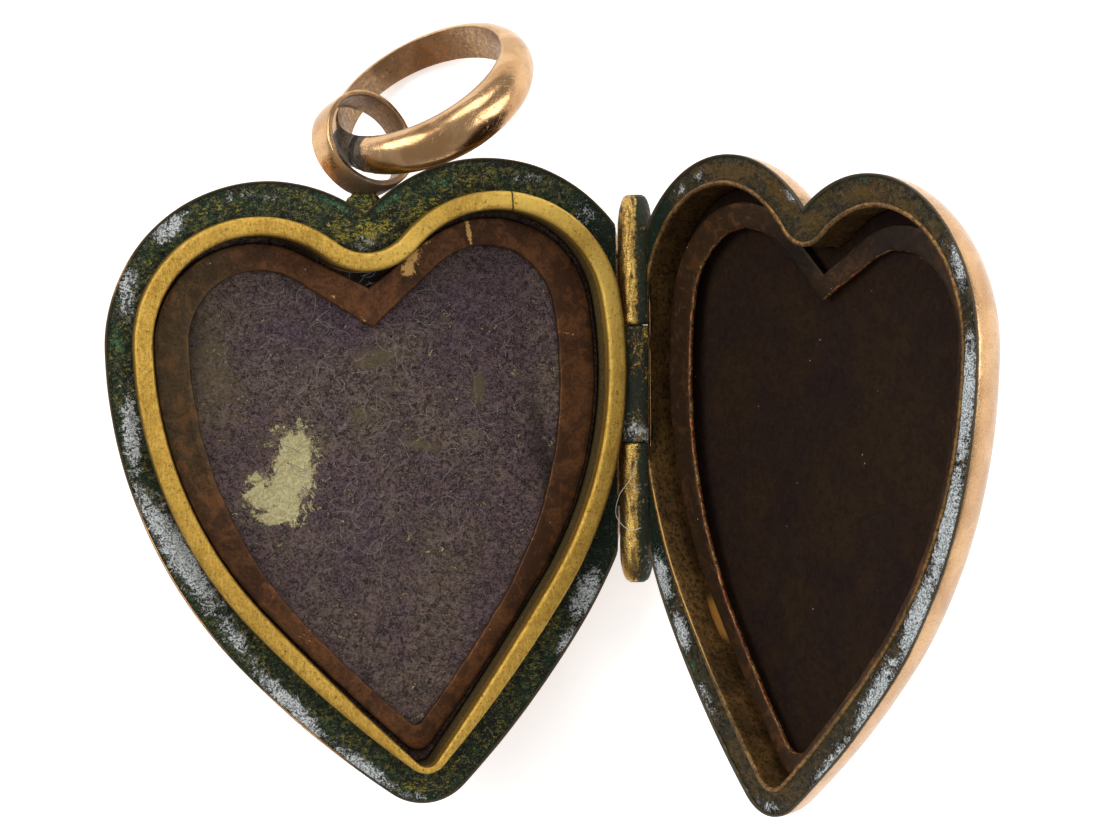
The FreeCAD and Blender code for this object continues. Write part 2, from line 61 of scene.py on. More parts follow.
MM = 0.001
BACK, FRONT = -1, 1
HINGE = Vector(next(j["pos_m"] for j in frame["joints"] if j["name"] == "case_hinge"))
TILT = {BACK: 12.2, FRONT: -55.3}
BODY = {BACK: "back", FRONT: "front"}
HEART_OFFSET = 10.14
HEART_LEAN = 5.8
RIM = -0.03
SEAT_RADIUS = 0.78
BEZEL_SEAT = 0.86
SEAT_LOW, SEAT_HIGH = -6.57, 9.11
BARREL_RADIUS = 0.7
PIN_RADIUS = 0.3
END_TAPER = 1.5

HEARTS = {
    # lobe x, lobe y, lobe radius, side radius, lower radius, tip radius, cleft radius
    "case": (4.43, 3.64, 6.53, 18.94, 38.97, 2.29, 0.0),
    "well": (4.82, 3.76, 5.03, 16.93, 50.3, 0.9, 1.98),
    "mouth": (4.82, 3.76, 4.27, 16.17, 130.0, 0.5, 2.74),
    "edge": (4.81, 3.67, 4.1, 15.9, 84.0, 0.61, 0.0),
    "gap": (4.61, 3.8, 2.83, 17.22, 52.7, 0.24, 0.0),
}
SHOULDER = math.radians(4.5)
FLANK = math.radians(-37.6)


# ---- outlines ----

def arc_points(centre, radius, start, end, count):
    angles = np.linspace(start, end, count, endpoint=False)
    return np.stack([centre[0] + radius * np.cos(angles), centre[1] + radius * np.sin(angles)], 1)


def half_heart(family, inset, notch, counts):
    """The right half of a heart outline from the cleft to the tip."""
    lx, ly, lobe_r, side_r, lower_r, tip_r, cleft_r = HEARTS[family]
    lobe_r, side_r, lower_r = lobe_r - inset, side_r - inset, lower_r - inset
    tip_r, cleft_r = max(tip_r - inset, 0.02), max(cleft_r + inset, 0.0)
    lobe = np.array([lx, ly])
    side = lobe + (lobe_r - side_r) * np.array([math.cos(SHOULDER), math.sin(SHOULDER)])
    lower = side + (side_r - lower_r) * np.array([math.cos(FLANK), math.sin(FLANK)])
    tip = np.array([0.0, lower[1] - math.sqrt((lower_r - tip_r) ** 2 - lower[0] ** 2)])
    tip_angle = math.atan2(tip[1] - lower[1], -lower[0])
    parts = []
    if notch is None:
        cleft = np.array([0.0, ly + math.sqrt((lobe_r + cleft_r) ** 2 - lx ** 2)])
        crown = math.atan2(cleft[1] - ly, -lx)
        parts.append(arc_points(cleft, cleft_r, -math.pi / 2, crown - math.pi, counts[0]))
    else:
        vee = np.array([0.0, notch])
        span = vee - lobe
        crown = math.atan2(span[1], span[0]) - math.acos(min(1.0, lobe_r / np.hypot(*span)))
        touch = lobe + lobe_r * np.array([math.cos(crown), math.sin(crown)])
        steps = np.linspace(0, 1, counts[0], endpoint=False)[:, None]
        parts.append(vee + (touch - vee) * steps)
    parts.append(arc_points(lobe, lobe_r, crown, SHOULDER, counts[1]))
    parts.append(arc_points(side, side_r, SHOULDER, FLANK, counts[2]))
    parts.append(arc_points(lower, lower_r, FLANK, tip_angle, counts[3]))
    parts.append(arc_points(tip, tip_r, tip_angle, -math.pi / 2, counts[4]))
    return np.concatenate(parts), np.array([0.0, tip[1] - tip_r])


# points along each arc of half an outline, from the cleft to the tip
COUNTS = (24, 70, 60, 70, 10)
FINE = (60, 200, 170, 200, 24)


def heart(family, inset=0.0, notch=None, counts=COUNTS):
    """A closed heart outline in the heart's own axes, clockwise from the cleft."""
    right, tip = half_heart(family, inset, notch, counts)
    left = right[:0:-1] * [-1, 1]
    return np.concatenate([right, tip[None], left])


def fine_heart(family, inset=0.0, notch=None):
    return heart(family, inset, notch, FINE)


def in_case(outline, side):
    """Heart axes to case frame."""
    lean = math.radians(-side * HEART_LEAN)
    x = outline[:, 0] * math.cos(lean) - outline[:, 1] * math.sin(lean) + side * HEART_OFFSET
    y = outline[:, 0] * math.sin(lean) + outline[:, 1] * math.cos(lean)
    return np.stack([x, y], 1)


def case_matrix(side):
    turn = Matrix.Rotation(math.radians(TILT[side]), 4, "Y")
    return Matrix.Translation(HINGE) @ turn @ Matrix.Scale(MM, 4)


# ---- noise for shapes ----

def wobble(points, scale, seed=0.0, octaves=3):
    """Smooth noise in about -1..1 at each point; scale is the size of a lump."""
    shift = Vector((seed * 7.3, seed * 3.1, seed * 5.7))
    values = [noise.fractal(Vector(p) / scale + shift, 1.0, 2.0, octaves) for p in points]
    return np.array(values)


def smooth(low, high, x):
    t = np.clip((np.asarray(x, float) - low) / (high - low), 0, 1)
    return t * t * (3 - 2 * t)


def spots(points, places):
    """The largest of several soft elliptical patches: x, y, half width, half height, turn, strength."""
    found = np.zeros(len(points))
    for x, y, wide, high, turn, strength in places:
        a = math.radians(turn)
        dx, dy = points[:, 0] - x, points[:, 1] - y
        along = (dx * math.cos(a) + dy * math.sin(a)) / wide
        across = (-dx * math.sin(a) + dy * math.cos(a)) / high
        found = np.maximum(found, strength * np.exp(-(along ** 2 + across ** 2)))
    return found


# ---- meshes ----

def new_piece(name, body, material, points, faces, matrix, replaces=(), masks=None):
    """A piece from points in millimetres; they are kept as the attribute 'local' for the material."""
    points = np.asarray(points, float)
    mesh = bpy.data.meshes.new(name)
    grid = points @ np.array(matrix.to_3x3()).T + np.array(matrix.translation)
    mesh.from_pydata(grid.tolist(), [], faces)
    mesh.polygons.foreach_set("use_smooth", [True] * len(mesh.polygons))
    local = mesh.attributes.new("local", "FLOAT_VECTOR", "POINT")
    local.data.foreach_set("vector", points.astype(np.float32).ravel())
    for mask, values in (masks or {}).items():
        layer = mesh.attributes.new(mask, "FLOAT", "POINT")
        layer.data.foreach_set("value", np.asarray(values, np.float32))
    mesh.materials.append(material)
    mesh.update()
    piece = bpy.data.objects.new(name, mesh)
    bpy.context.scene.collection.objects.link(piece)
    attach(piece, body)
    if replaces:
        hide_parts(*replaces)
    return piece


def case_piece(name, side, material, points, faces, replaces=(), masks=None):
    """A piece whose points are in the case frame of one half."""
    matrix = case_matrix(side)
    return new_piece(name, BODY[side], material, points, faces, matrix, replaces, masks)


def ring_faces(rings, count, pairs):
    """Quads between successive rings of count points each."""
    faces = []
    for r in range(pairs):
        a, b = r * count, (r + 1) % rings * count
        for i in range(count):
            j = (i + 1) % count
            faces.append((a + i, a + j, b + j, b + i))
    return faces


def lofted(rings):
    """Points and faces of a closed band whose sections run round and join up (a torus)."""
    return np.concatenate(rings), ring_faces(len(rings), len(rings[0]), len(rings))


def capped(rings):
    """Rings closed by a fan at each end."""
    count = len(rings[0])
    faces = ring_faces(len(rings), count, len(rings) - 1)
    first_hub = len(rings) * count
    last = first_hub - count
    for i in range(count):
        j = (i + 1) % count
        faces.append((j, i, first_hub))
    for i in range(count):
        j = (i + 1) % count
        faces.append((last + i, last + j, first_hub + 1))
    return np.concatenate([*rings, rings[0].mean(0)[None], rings[-1].mean(0)[None]]), faces


def raised(outline, height):
    return np.column_stack([outline, np.full(len(outline), height)])


def clear_hinge(points, side, waist):
    """Flatten what would pass the hinge axis and keep out of the seat round the barrel."""
    points = points.copy()
    points[:, 0] = side * np.maximum(side * points[:, 0], waist)
    near = (points[:, 1] > SEAT_LOW) & (points[:, 1] < SEAT_HIGH)
    reach = np.hypot(points[:, 0], points[:, 2])
    tight = near & (reach < SEAT_RADIUS)
    grow = SEAT_RADIUS / np.maximum(reach[tight], 1e-6)
    points[tight, 0] *= grow
    points[tight, 2] *= grow
    return points


# ---- materials ----

def srgb(red, green, blue):
    def linear(value):
        value /= 255.0
        return value / 12.92 if value <= 0.04045 else ((value + 0.055) / 1.055) ** 2.4
    return (linear(red), linear(green), linear(blue), 1.0)


class Recipe:
    """Builds one node material. Sockets and plain numbers can be used alike."""

    def __init__(self, name, cad=False):
        self.material = bpy.data.materials.new(name)
        self.material.use_nodes = True
        self.tree = self.material.node_tree
        self.tree.nodes.clear()
        if cad:
            place = self.add("ShaderNodeVectorMath", operation="SCALE")
            self.link(self.add("ShaderNodeTexCoord").outputs["Object"], place.inputs[0])
            place.inputs["Scale"].default_value = 1000.0
            self.place = place.outputs[0]
        else:
            self.place = self.add("ShaderNodeAttribute", attribute_name="local").outputs["Vector"]

    def add(self, kind, **settings):
        node = self.tree.nodes.new(kind)
        for key, value in settings.items():
            setattr(node, key, value)
        return node

    def link(self, source, target):
        if isinstance(source, bpy.types.NodeSocket):
            self.tree.links.new(source, target)
        else:
            target.default_value = source

    def mask(self, name):
        return self.add("ShaderNodeAttribute", attribute_name=name).outputs["Fac"]

    def math(self, operation, first, second):
        node = self.add("ShaderNodeMath", operation=operation)
        self.link(first, node.inputs[0])
        self.link(second, node.inputs[1])
        return node.outputs[0]

    def plus(self, first, second):
        return self.math("ADD", first, second)

    def minus(self, first, second):
        return self.math("SUBTRACT", first, second)

    def times(self, first, second):
        return self.math("MULTIPLY", first, second)

    def larger(self, first, second):
        return self.math("MAXIMUM", first, second)

    def stretched(self, x, y, z):
        node = self.add("ShaderNodeVectorMath", operation="MULTIPLY")
        self.link(self.place, node.inputs[0])
        node.inputs[1].default_value = (x, y, z)
        return node.outputs[0]

    def noise(self, scale, detail=4.0, rough=0.55, warp=0.0, place=None):
        """Noise with lumps of about 1/scale millimetres."""
        node = self.add("ShaderNodeTexNoise")
        self.link(place or self.place, node.inputs["Vector"])
        node.inputs["Scale"].default_value = scale
        node.inputs["Detail"].default_value = detail
        node.inputs["Roughness"].default_value = rough
        node.inputs["Distortion"].default_value = warp
        return node.outputs["Fac"]

    def ragged(self, value, gain):
        """A noise value as an offset about zero, to tear the edge of a painted patch."""
        return self.times(self.minus(value, 0.5), gain)

    def cells(self, scale):
        """The distance to the nearest of scattered points, about 1/scale millimetres apart."""
        node = self.add("ShaderNodeTexVoronoi")
        self.link(self.place, node.inputs["Vector"])
        node.inputs["Scale"].default_value = scale
        return node.outputs["Distance"]

    def step(self, value, low, high, out_low=0.0, out_high=1.0):
        node = self.add("ShaderNodeMapRange", interpolation_type="SMOOTHSTEP")
        self.link(value, node.inputs[0])
        for index, number in enumerate((low, high, out_low, out_high), start=1):
            node.inputs[index].default_value = number
        return node.outputs[0]

    def patch(self, mask, torn, low, high):
        """A painted patch whose edge is torn by noise."""
        return self.step(self.plus(self.mask(mask), torn), low, high)

    def mix(self, factor, first, second):
        """Colours are sockets or sRGB triples of 0 to 255."""
        node = self.add("ShaderNodeMix", data_type="RGBA")
        self.link(factor, node.inputs[0])
        for index, colour in ((6, first), (7, second)):
            self.link(srgb(*colour) if isinstance(colour, tuple) else colour, node.inputs[index])
        return node.outputs[2]

    def over(self, under, top, value, low, high, most=1.0):
        """The second colour over the first, from none where value is low to most of it where high."""
        return self.mix(self.step(value, low, high, 0.0, most), under, top)

    def bump(self, *layers):
        """Each layer is a height and its depth in millimetres."""
        normal = None
        for height, depth in layers:
            node = self.add("ShaderNodeBump")
            node.inputs["Distance"].default_value = depth * MM
            self.link(height, node.inputs["Height"])
            if normal is not None:
                self.link(normal, node.inputs["Normal"])
            normal = node.outputs[0]
        return normal

    def finish(self, colour, metallic, roughness, normal=None, **others):
        shader = self.add("ShaderNodeBsdfPrincipled")
        self.link(colour, shader.inputs["Base Color"])
        self.link(metallic, shader.inputs["Metallic"])
        self.link(roughness, shader.inputs["Roughness"])
        if normal is not None:
            self.link(normal, shader.inputs["Normal"])
        for key, value in others.items():
            self.link(value, shader.inputs[key.replace("_", " ")])
        out = self.add("ShaderNodeOutputMaterial")
        self.link(shader.outputs[0], out.inputs["Surface"])
        return self.material


def rose_gold_look():
    """Worn polished rose gold: pinkish copper, faint scratches and brown toning in low places."""
    r = Recipe("rose_gold_look")
    cloud = r.noise(0.55, 4, 0.6, 0.6)
    fine = r.noise(6.0, 5, 0.7)
    scratch = r.step(r.noise(3.0, 6, 0.8, 2.0, r.stretched(0.4, 4.0, 0.4)), 0.56, 0.68)
    pits = r.step(r.cells(5.5), 0.1, 0.03)
    colour = r.over((178, 138, 98), (202, 162, 118), cloud, 0.3, 0.7)
    colour = r.over(colour, (158, 114, 76), fine, 0.5, 0.8, 0.3)
    worn = r.patch("grime_and_shade", r.times(fine, 0.5), 0.55, 0.95)
    colour = r.mix(r.times(worn, 0.92), colour, (38, 38, 26))
    colour = r.mix(r.times(pits, 0.5), colour, (90, 62, 44))
    rough = r.plus(r.step(fine, 0.2, 0.9, 0.2, 0.36), r.times(worn, 0.3))
    normal = r.bump((scratch, 0.006), (fine, 0.01), (cloud, 0.06), (pits, -0.015))
    return r.finish(colour, r.minus(1.0, r.times(worn, 0.5)), rough, normal)


def link_look():
    """The loop's and the bail's browned, smoothly polished gold, dark grey where it was soldered and
    darker on the inner faces.
    """
    r = Recipe("link_look")
    cloud = r.noise(0.8, 3, 0.5, 0.4)
    fine = r.noise(7.0, 5, 0.7)
    scratch = r.step(r.noise(3.0, 6, 0.8, 2.0, r.stretched(0.4, 4.0, 0.4)), 0.58, 0.66)
    colour = r.over((204, 164, 120), (178, 138, 96), cloud, 0.35, 0.65)
    colour = r.over(colour, (116, 82, 54), fine, 0.55, 0.75, 0.3)
    # a dark mask: the soldered parts and the inner faces
    dirt_and_shade = r.patch("grime_and_shade", r.times(fine, 0.5), 0.5, 0.85)
    colour = r.mix(r.times(dirt_and_shade, 0.92), colour, r.over((34, 26, 20), (84, 74, 66), fine, 0.42, 0.58))
    rough = r.plus(r.step(fine, 0.2, 0.8, 0.16, 0.27), r.times(dirt_and_shade, 0.3))
    metal = r.minus(1.0, r.times(dirt_and_shade, 0.45))
    return r.finish(colour, metal, rough, r.bump((cloud, 0.03), (scratch, 0.003), (fine, 0.004)))


def verdigris_look(name, front):
    """Gold sheet under dark green verdigris, teal crust and white powdery bloom."""
    r = Recipe(name)
    broad = r.noise(0.9, 5, 0.6, 0.5)
    patch = r.noise(1.3, 5, 0.65, 1.0)
    crust = r.noise(3.2, 8, 0.72, 0.8)
    grain = r.noise(14.0, 5, 0.75)
    streak = r.noise(2.2, 6, 0.7, 1.5, r.stretched(1.0, 2.2, 1.0))
    fleck = r.noise(6.0, 6, 0.75, 0.6)
    if front:
        dark = r.over((58, 46, 24), (88, 68, 36), broad, 0.44, 0.56)
        patina, crumb, straw = (48, 44, 24), (50, 46, 24), (94, 80, 44)
        bare = r.over((118, 92, 50), (76, 60, 32), grain, 0.45, 0.55)
    else:
        dark = r.over((18, 22, 12), (46, 48, 24), broad, 0.44, 0.56)
        patina, crumb, straw = (12, 50, 26), (18, 24, 12), (104, 110, 58)
        bare = r.over((206, 190, 86), (64, 60, 28), grain, 0.45, 0.55)
    colour = r.over(dark, patina, patch, 0.47, 0.53)
    colour = r.over(colour, crumb, crust, 0.5, 0.54, 0.8)
    colour = r.over(colour, straw, streak, 0.54, 0.57, 0.7)
    colour = r.over(colour, (8, 12, 8), fleck, 0.48, 0.44)
    teal = r.patch("teal", r.ragged(crust, 2.0), 0.28, 0.5)
    colour = r.mix(teal, colour, r.over((14, 66, 46), (72, 132, 94), grain, 0.45, 0.55))
    gold = r.patch("gold", r.ragged(streak, 2.4), 0.3, 0.5)
    clump = r.times(r.step(fleck, 0.54, 0.575), r.step(patch, 0.54, 0.48, 0.2, 0.7))
    gold = r.larger(gold, clump)
    colour = r.mix(r.times(gold, 0.85), colour, bare)
    colour = r.mix(r.patch("rust", r.ragged(crust, 2.0), 0.3, 0.6), colour, (16, 34, 20))
    torn = r.plus(r.ragged(crust, 2.2), r.ragged(grain, 1.8))
    bloom = r.patch("bloom", torn, 0.36, 0.62)
    powder = r.over((112, 122, 124), (238, 242, 242), grain, 0.44, 0.54)
    colour = r.mix(bloom, colour, powder)
    speck = r.times(r.step(grain, 0.56, 0.6), r.step(crust, 0.48, 0.53))
    colour = r.mix(r.times(speck, 0.15 if front else 0.6), colour, (170, 176, 132))
    metal = r.times(gold, 0.85 if front else 0.75)
    metal = r.times(metal, r.minus(1.0, bloom))
    rough = r.minus(0.62, r.times(gold, 0.2))
    rough = r.plus(rough, r.times(bloom, 0.25))
    normal = r.bump((crust, 0.16), (fleck, 0.08), (grain, 0.05), (bloom, 0.06))
    return r.finish(colour, metal, rough, normal, Specular_IOR_Level=0.2 if front else 0.3)


def yellow_gold_look():
    """Matt yellow gold with a fine brushed grain, brown toning and dark nicks; a dark mask blackens the
    seam, paints shade on the walls and darkens a few places, and a painted highlight brightens the lit
    places.
    """
    r = Recipe("yellow_gold_look")
    broad = r.noise(0.8, 4, 0.6, 0.4)
    fine = r.noise(9.0, 6, 0.75)
    brushed = r.noise(5.0, 4, 0.7, 0.4, r.stretched(3.0, 0.6, 1.0))
    pits = r.step(r.noise(7.0, 3, 0.8), 0.61, 0.66)
    colour = r.over((206, 164, 74), (184, 144, 62), broad, 0.35, 0.7)
    colour = r.over(colour, (140, 104, 42), fine, 0.5, 0.57, 0.5)
    colour = r.over(colour, (236, 200, 110), brushed, 0.52, 0.6, 0.35)
    colour = r.mix(r.mask("lit"), colour, (246, 206, 104))
    # a dark mask: the seam, painted shade on the walls, and a few darker places
    dirt_and_shade = r.patch("grime_and_shade", r.times(fine, 0.8), 0.66, 0.9)
    colour = r.mix(r.times(dirt_and_shade, 0.92), colour, (46, 38, 20))
    colour = r.mix(r.times(pits, 0.7), colour, (84, 62, 26))
    metal = r.minus(0.95, r.times(dirt_and_shade, 0.6))
    rough = r.plus(r.step(fine, 0.2, 0.8, 0.36, 0.52), r.times(dirt_and_shade, 0.2))
    return r.finish(colour, metal, rough, r.bump((fine, 0.03), (brushed, 0.012), (pits, -0.03)))


def copper_look(name, unshaded):
    """A flat sheet tarnished brown, with bare patches, faint scratches and dust; on the front frame the
    side colour and the shade mask are painted shade, on the back frame the side colour tints the upper
    left.
    """
    r = Recipe(name)
    broad = r.noise(0.5, 4, 0.6, 0.6)
    fine = r.noise(7.0, 6, 0.7)
    rolled = r.noise(1.8, 5, 0.65, 0.6)
    colour = r.over((74, 46, 27), (100, 64, 36), broad, 0.42, 0.58)
    # the front frame's side colour, set all over it, is painted shade; the back frame's side colour
    # tints its upper left
    colour = r.mix(r.mask("side"), colour, (76, 60, 38) if unshaded else (64, 44, 26))
    colour = r.over(colour, (48, 30, 18), fine, 0.5, 0.57, 0.4)
    colour = r.over(colour, (56, 37, 22), rolled, 0.5, 0.6, 0.45)
    colour = r.over(colour, (122, 78, 44), rolled, 0.48, 0.4, 0.4)
    colour = r.mix(r.mask("shade"), colour, (18, 12, 8))
    bare = r.patch("bare", r.ragged(fine, 2.0), 0.35, 0.55)
    colour = r.mix(bare, colour, (204, 160, 92))
    edge = r.patch("edge", r.ragged(rolled, 2.5), 0.55, 0.95)
    colour = r.mix(edge, colour, r.over((142, 66, 42), (176, 122, 72), fine, 0.46, 0.54))
    dust = r.step(r.cells(1.4), 0.035, 0.02)
    colour = r.mix(dust, colour, (200, 200, 196))
    rough = r.step(fine, 0.2, 0.8, 0.36, 0.55)
    metal = r.minus(0.75, r.times(dust, 0.7))
    return r.finish(colour, metal, rough, r.bump((broad, 0.08), (fine, 0.02), (rolled, 0.008)))


def felt_look():
    """Purple-grey felt, mottled by its fibres, worn to a pale yellow in one place, and darkened near
    black as painted shade where it shows in the gaps between the bezel and the frame.
    """
    r = Recipe("felt_look")
    broad = r.noise(0.35, 3, 0.6, 0.4)
    tuft = r.noise(2.2, 7, 0.75, 0.8)
    hair = r.noise(8.0, 6, 0.8, 2.5)
    cross = r.noise(8.0, 4, 0.8, 2.0, r.stretched(0.5, 2.4, 1.0))
    nap = r.noise(5.0, 8, 0.8, 1.2)
    low = r.over((46, 31, 36), (54, 42, 36), broad, 0.42, 0.58)
    high = r.over((142, 113, 117), (158, 134, 118), broad, 0.42, 0.58)
    colour = r.over(low, high, nap, 0.44, 0.56)
    colour = r.mix(r.times(r.mask("plum"), 0.45), colour, (84, 58, 92))
    colour = r.over(colour, (58, 42, 48), tuft, 0.51, 0.57, 0.55)
    colour = r.over(colour, (164, 148, 146), hair, 0.535, 0.575, 0.8)
    colour = r.over(colour, (38, 27, 30), cross, 0.535, 0.575, 0.7)
    colour = r.over(colour, (206, 200, 200), r.noise(26.0, 2, 0.6), 0.68, 0.74)
    sallow = r.plus(r.mask("sallow"), r.plus(r.ragged(tuft, 2.0), r.ragged(hair, 1.6)))
    colour = r.over(colour, (126, 112, 82), sallow, 0.1, 0.8, 0.8)
    torn = r.plus(r.ragged(tuft, 2.4), r.ragged(hair, 1.6))
    worn = r.patch("worn", torn, 0.34, 0.46)
    pale = r.over((255, 246, 190), (226, 206, 146), nap, 0.44, 0.56)
    colour = r.mix(worn, colour, pale)
    # painted shade: near black where the felt shows in the gaps between the bezel and the frame
    colour = r.mix(r.mask("grime_and_shade"), colour, (12, 8, 7))
    dust = r.step(r.cells(1.1), 0.03, 0.018)
    colour = r.mix(dust, colour, (214, 214, 220))
    normal = r.bump((tuft, 0.14), (nap, 0.12), (hair, 0.07), (cross, 0.05), (worn, -0.06))
    sheen = {"Sheen_Weight": 0.08, "Sheen_Roughness": 0.5}
    return r.finish(colour, 0.0, 0.95, normal, Specular_IOR_Level=0.1, **sheen)


def backing_look():
    """The front's dark backing, brown-purple and flatter than the felt."""
    r = Recipe("backing_look")
    broad = r.noise(0.4, 4, 0.6, 0.5)
    tuft = r.noise(3.0, 7, 0.75, 0.6)
    hair = r.noise(10.0, 5, 0.8, 2.0)
    colour = r.over((36, 23, 20), (46, 32, 18), broad, 0.35, 0.65)
    colour = r.over(colour, (27, 18, 15), tuft, 0.49, 0.56, 0.6)
    colour = r.over(colour, (70, 52, 42), hair, 0.54, 0.59, 0.4)
    dust = r.step(r.cells(0.9), 0.03, 0.018)
    colour = r.mix(dust, colour, (170, 160, 170))
    gilt = r.patch("gilt", r.ragged(tuft, 2.0), 0.45, 0.6)
    colour = r.mix(gilt, colour, r.over((220, 164, 68), (160, 112, 44), hair, 0.4, 0.6))
    metal = r.times(gilt, 0.6)
    rough = r.minus(0.9, r.times(gilt, 0.5))
    return r.finish(colour, metal, rough, r.bump((tuft, 0.07), (hair, 0.05)), Specular_IOR_Level=0.08)


def wall_look():
    """Browned gold inside the front's well, with dark specks and bright edges that are partly bare metal
    and partly a painted highlight.
    """
    r = Recipe("front_wall_look")
    broad = r.noise(0.7, 5, 0.6, 0.6)
    fine = r.noise(6.0, 6, 0.75)
    colour = r.over((150, 112, 62), (108, 80, 46), broad, 0.35, 0.65)
    colour = r.over(colour, (36, 28, 18), fine, 0.48, 0.57, 0.75)
    # bright top edge: partly bare metal, partly a painted highlight
    bright = r.patch("bare", r.times(fine, 0.4), 0.7, 0.95)
    colour = r.mix(bright, colour, (226, 182, 104))
    green = r.patch("teal", r.times(fine, 0.5), 0.7, 0.95)
    colour = r.mix(green, colour, (48, 60, 40))
    rough = r.step(fine, 0.2, 0.8, 0.34, 0.55)
    return r.finish(colour, 0.8, rough, r.bump((broad, 0.05), (fine, 0.03)))


def gilt_look(name):
    """Bright dull gilt sheet of a well's floor."""
    r = Recipe(name, True)
    fine = r.noise(8.0, 6, 0.75)
    blot = r.noise(2.4, 6, 0.7, 1.0)
    colour = r.over((214, 166, 64), (168, 122, 44), fine, 0.4, 0.7)
    colour = r.over(colour, (70, 50, 26), blot, 0.55, 0.68)
    return r.finish(colour, 0.85, 0.42, r.bump((fine, 0.05), (blot, 0.04)))


def hinge_look():
    """Gold barrel: bare on the worn crown, green in the low places, darkened as painted shade on the
    side of the outer knuckles towards the back half and in patches on the middle knuckle.
    """
    r = Recipe("hinge_look")
    streak = r.noise(1.8, 5, 0.6, 0.8, r.stretched(2.4, 0.5, 2.4))
    crust = r.noise(6.0, 8, 0.78, 0.8)
    fine = r.noise(12.0, 5, 0.75)
    colour = r.over((204, 168, 92), (134, 104, 54), streak, 0.42, 0.6)
    colour = r.over(colour, (88, 64, 34), fine, 0.54, 0.6, 0.4)
    green = r.patch("teal", r.ragged(crust, 3.6), 0.3, 0.5)
    crusty = r.over((13, 19, 11), (42, 60, 34), crust, 0.42, 0.62)
    colour = r.mix(green, colour, crusty)
    # darkening: painted shade on the outer knuckles' side towards the back half, patches on the middle
    # knuckle
    grime_and_shade = r.patch("grime_and_shade", r.ragged(streak, 3.2), 0.3, 0.55)
    colour = r.mix(r.times(grime_and_shade, 0.9), colour, (34, 28, 18))
    bloom = r.patch("bloom", r.ragged(crust, 3.6), 0.5, 0.75)
    colour = r.mix(bloom, colour, (196, 202, 198))
    dull = r.larger(r.larger(green, grime_and_shade), bloom)
    metal = r.minus(0.95, r.times(dull, 0.8))
    rough = r.plus(r.step(fine, 0.4, 0.6, 0.2, 0.34), r.times(dull, 0.3))
    normal = r.bump((streak, 0.03), (fine, 0.02), (r.times(green, crust), 0.12))
    return r.finish(colour, metal, rough, normal)


def solder_look(name, cad=False):
    """Dull grey solder, lumpy and stained brown."""
    r = Recipe(name, cad)
    lump = r.noise(3.0, 5, 0.7, 0.8)
    fine = r.noise(14.0, 4, 0.7)
    colour = r.over((50, 42, 36), (26, 20, 16), lump, 0.4, 0.6)
    colour = r.over(colour, (150, 144, 138), fine, 0.55, 0.75, 0.5)
    return r.finish(colour, 0.7, r.step(fine, 0.2, 0.8, 0.35, 0.6), r.bump((lump, 0.12), (fine, 0.03)))


def thread_look(name, light, dark):
    r = Recipe(name)
    return r.finish(r.mix(r.noise(3.0, 3), light, dark), 0.0, 0.8, Sheen_Weight=0.3)


# ---- pieces of the two halves ----

WAIST = 0.02
WALL = 0.3
LEDGE_TOP = -0.1
DOME_REACH = 4.0
DOME_DEPTH = 2.93
CROWN_RISE = 0.12


def build_shell(name, side, material):
    """A puffed heart of sheet metal: a pillow-shaped outside, a rounded lip and a plain inside."""
    rings = []
    dents = 0.05 if side == BACK else 0.03

    def ring(inset, depth, waist):
        outline = in_case(heart("case", inset), side)
        return clear_hinge(raised(outline, RIM - depth), side, waist)

    def crown(reach, depth, waist):
        last = ring(reach, depth, waist)
        middle = np.array([side * HEART_OFFSET, -0.5, 0])
        for share in (0.12, 0.28, 0.45, 0.62, 0.8):
            flat = middle + (last - middle) * [share, share, 0]
            flat[:, 2] = RIM - depth - CROWN_RISE * (1 - share ** 2)
            yield flat

    rings.extend(crown(DOME_REACH, DOME_DEPTH, WAIST))
    for angle in np.linspace(math.pi / 2, 0.0, 26):
        inset = DOME_REACH * (1 - math.cos(angle))
        rings.append(ring(inset, DOME_DEPTH * math.sin(angle), WAIST))
    outside = len(rings)
    for inset, depth in ((0.02, -0.01), (0.05, -0.015), (0.09, 0.0), (0.13, 0.1), (0.26, 0.2)):
        rings.append(ring(inset, depth, WAIST + inset))
    for angle in np.linspace(0.05, math.pi / 2, 10):
        inset = WALL + (DOME_REACH - WALL) * (1 - math.cos(angle))
        rings.append(ring(inset, (DOME_DEPTH - WALL) * math.sin(angle) + 0.2, WAIST + WALL))
    rings.extend(list(crown(DOME_REACH, DOME_DEPTH - WALL, WAIST + WALL))[::-1])
    points, faces = capped(rings)
    limit = outside * len(rings[0])
    soft = wobble(points[:limit], 3.4, 2.0 + side, 2)
    inward = np.array([side * HEART_OFFSET, -1, 1.5]) - points[:limit]
    inward /= np.linalg.norm(inward, axis=1)[:, None]
    off_hinge = smooth(0.6, 2.0, side * points[:limit, 0])
    points[:limit] += inward * (dents * (0.5 + 0.5 * np.clip(soft, -1, 1)) * off_hinge)[:, None]
    bare = spots(points, SHELL_BARE)
    grime_and_shade = 0.95 * (1 - bare) * smooth(-0.22, -0.04, points[:, 2])
    grime_and_shade += spots(points, [(side * 11.0, 8.6, 1.6, 1.2, 0, 0.5)])
    return case_piece(name, side, material, points, faces,
                      [name.replace("case", "shell")], {"grime_and_shade": grime_and_shade})


def band(side, outer, inner, section, waist=None):
    """A closed heart-shaped band: section holds (share from outer to inner, height)."""
    rings = []
    for share, height in section:
        outline = in_case(outer + (inner - outer) * share, side)
        ring = raised(outline, height)
        rings.append(ring if waist is None else clear_hinge(ring, side, waist))
    return rings


SHELL_BARE = [
    (-19.0, -6.5, 3.0, 5.0, 0, 0.8), (-14.0, -12.5, 3.0, 2.5, 0, 0.8),
    (-20.8, 6.0, 1.0, 2.0, 0, 0.5),
]
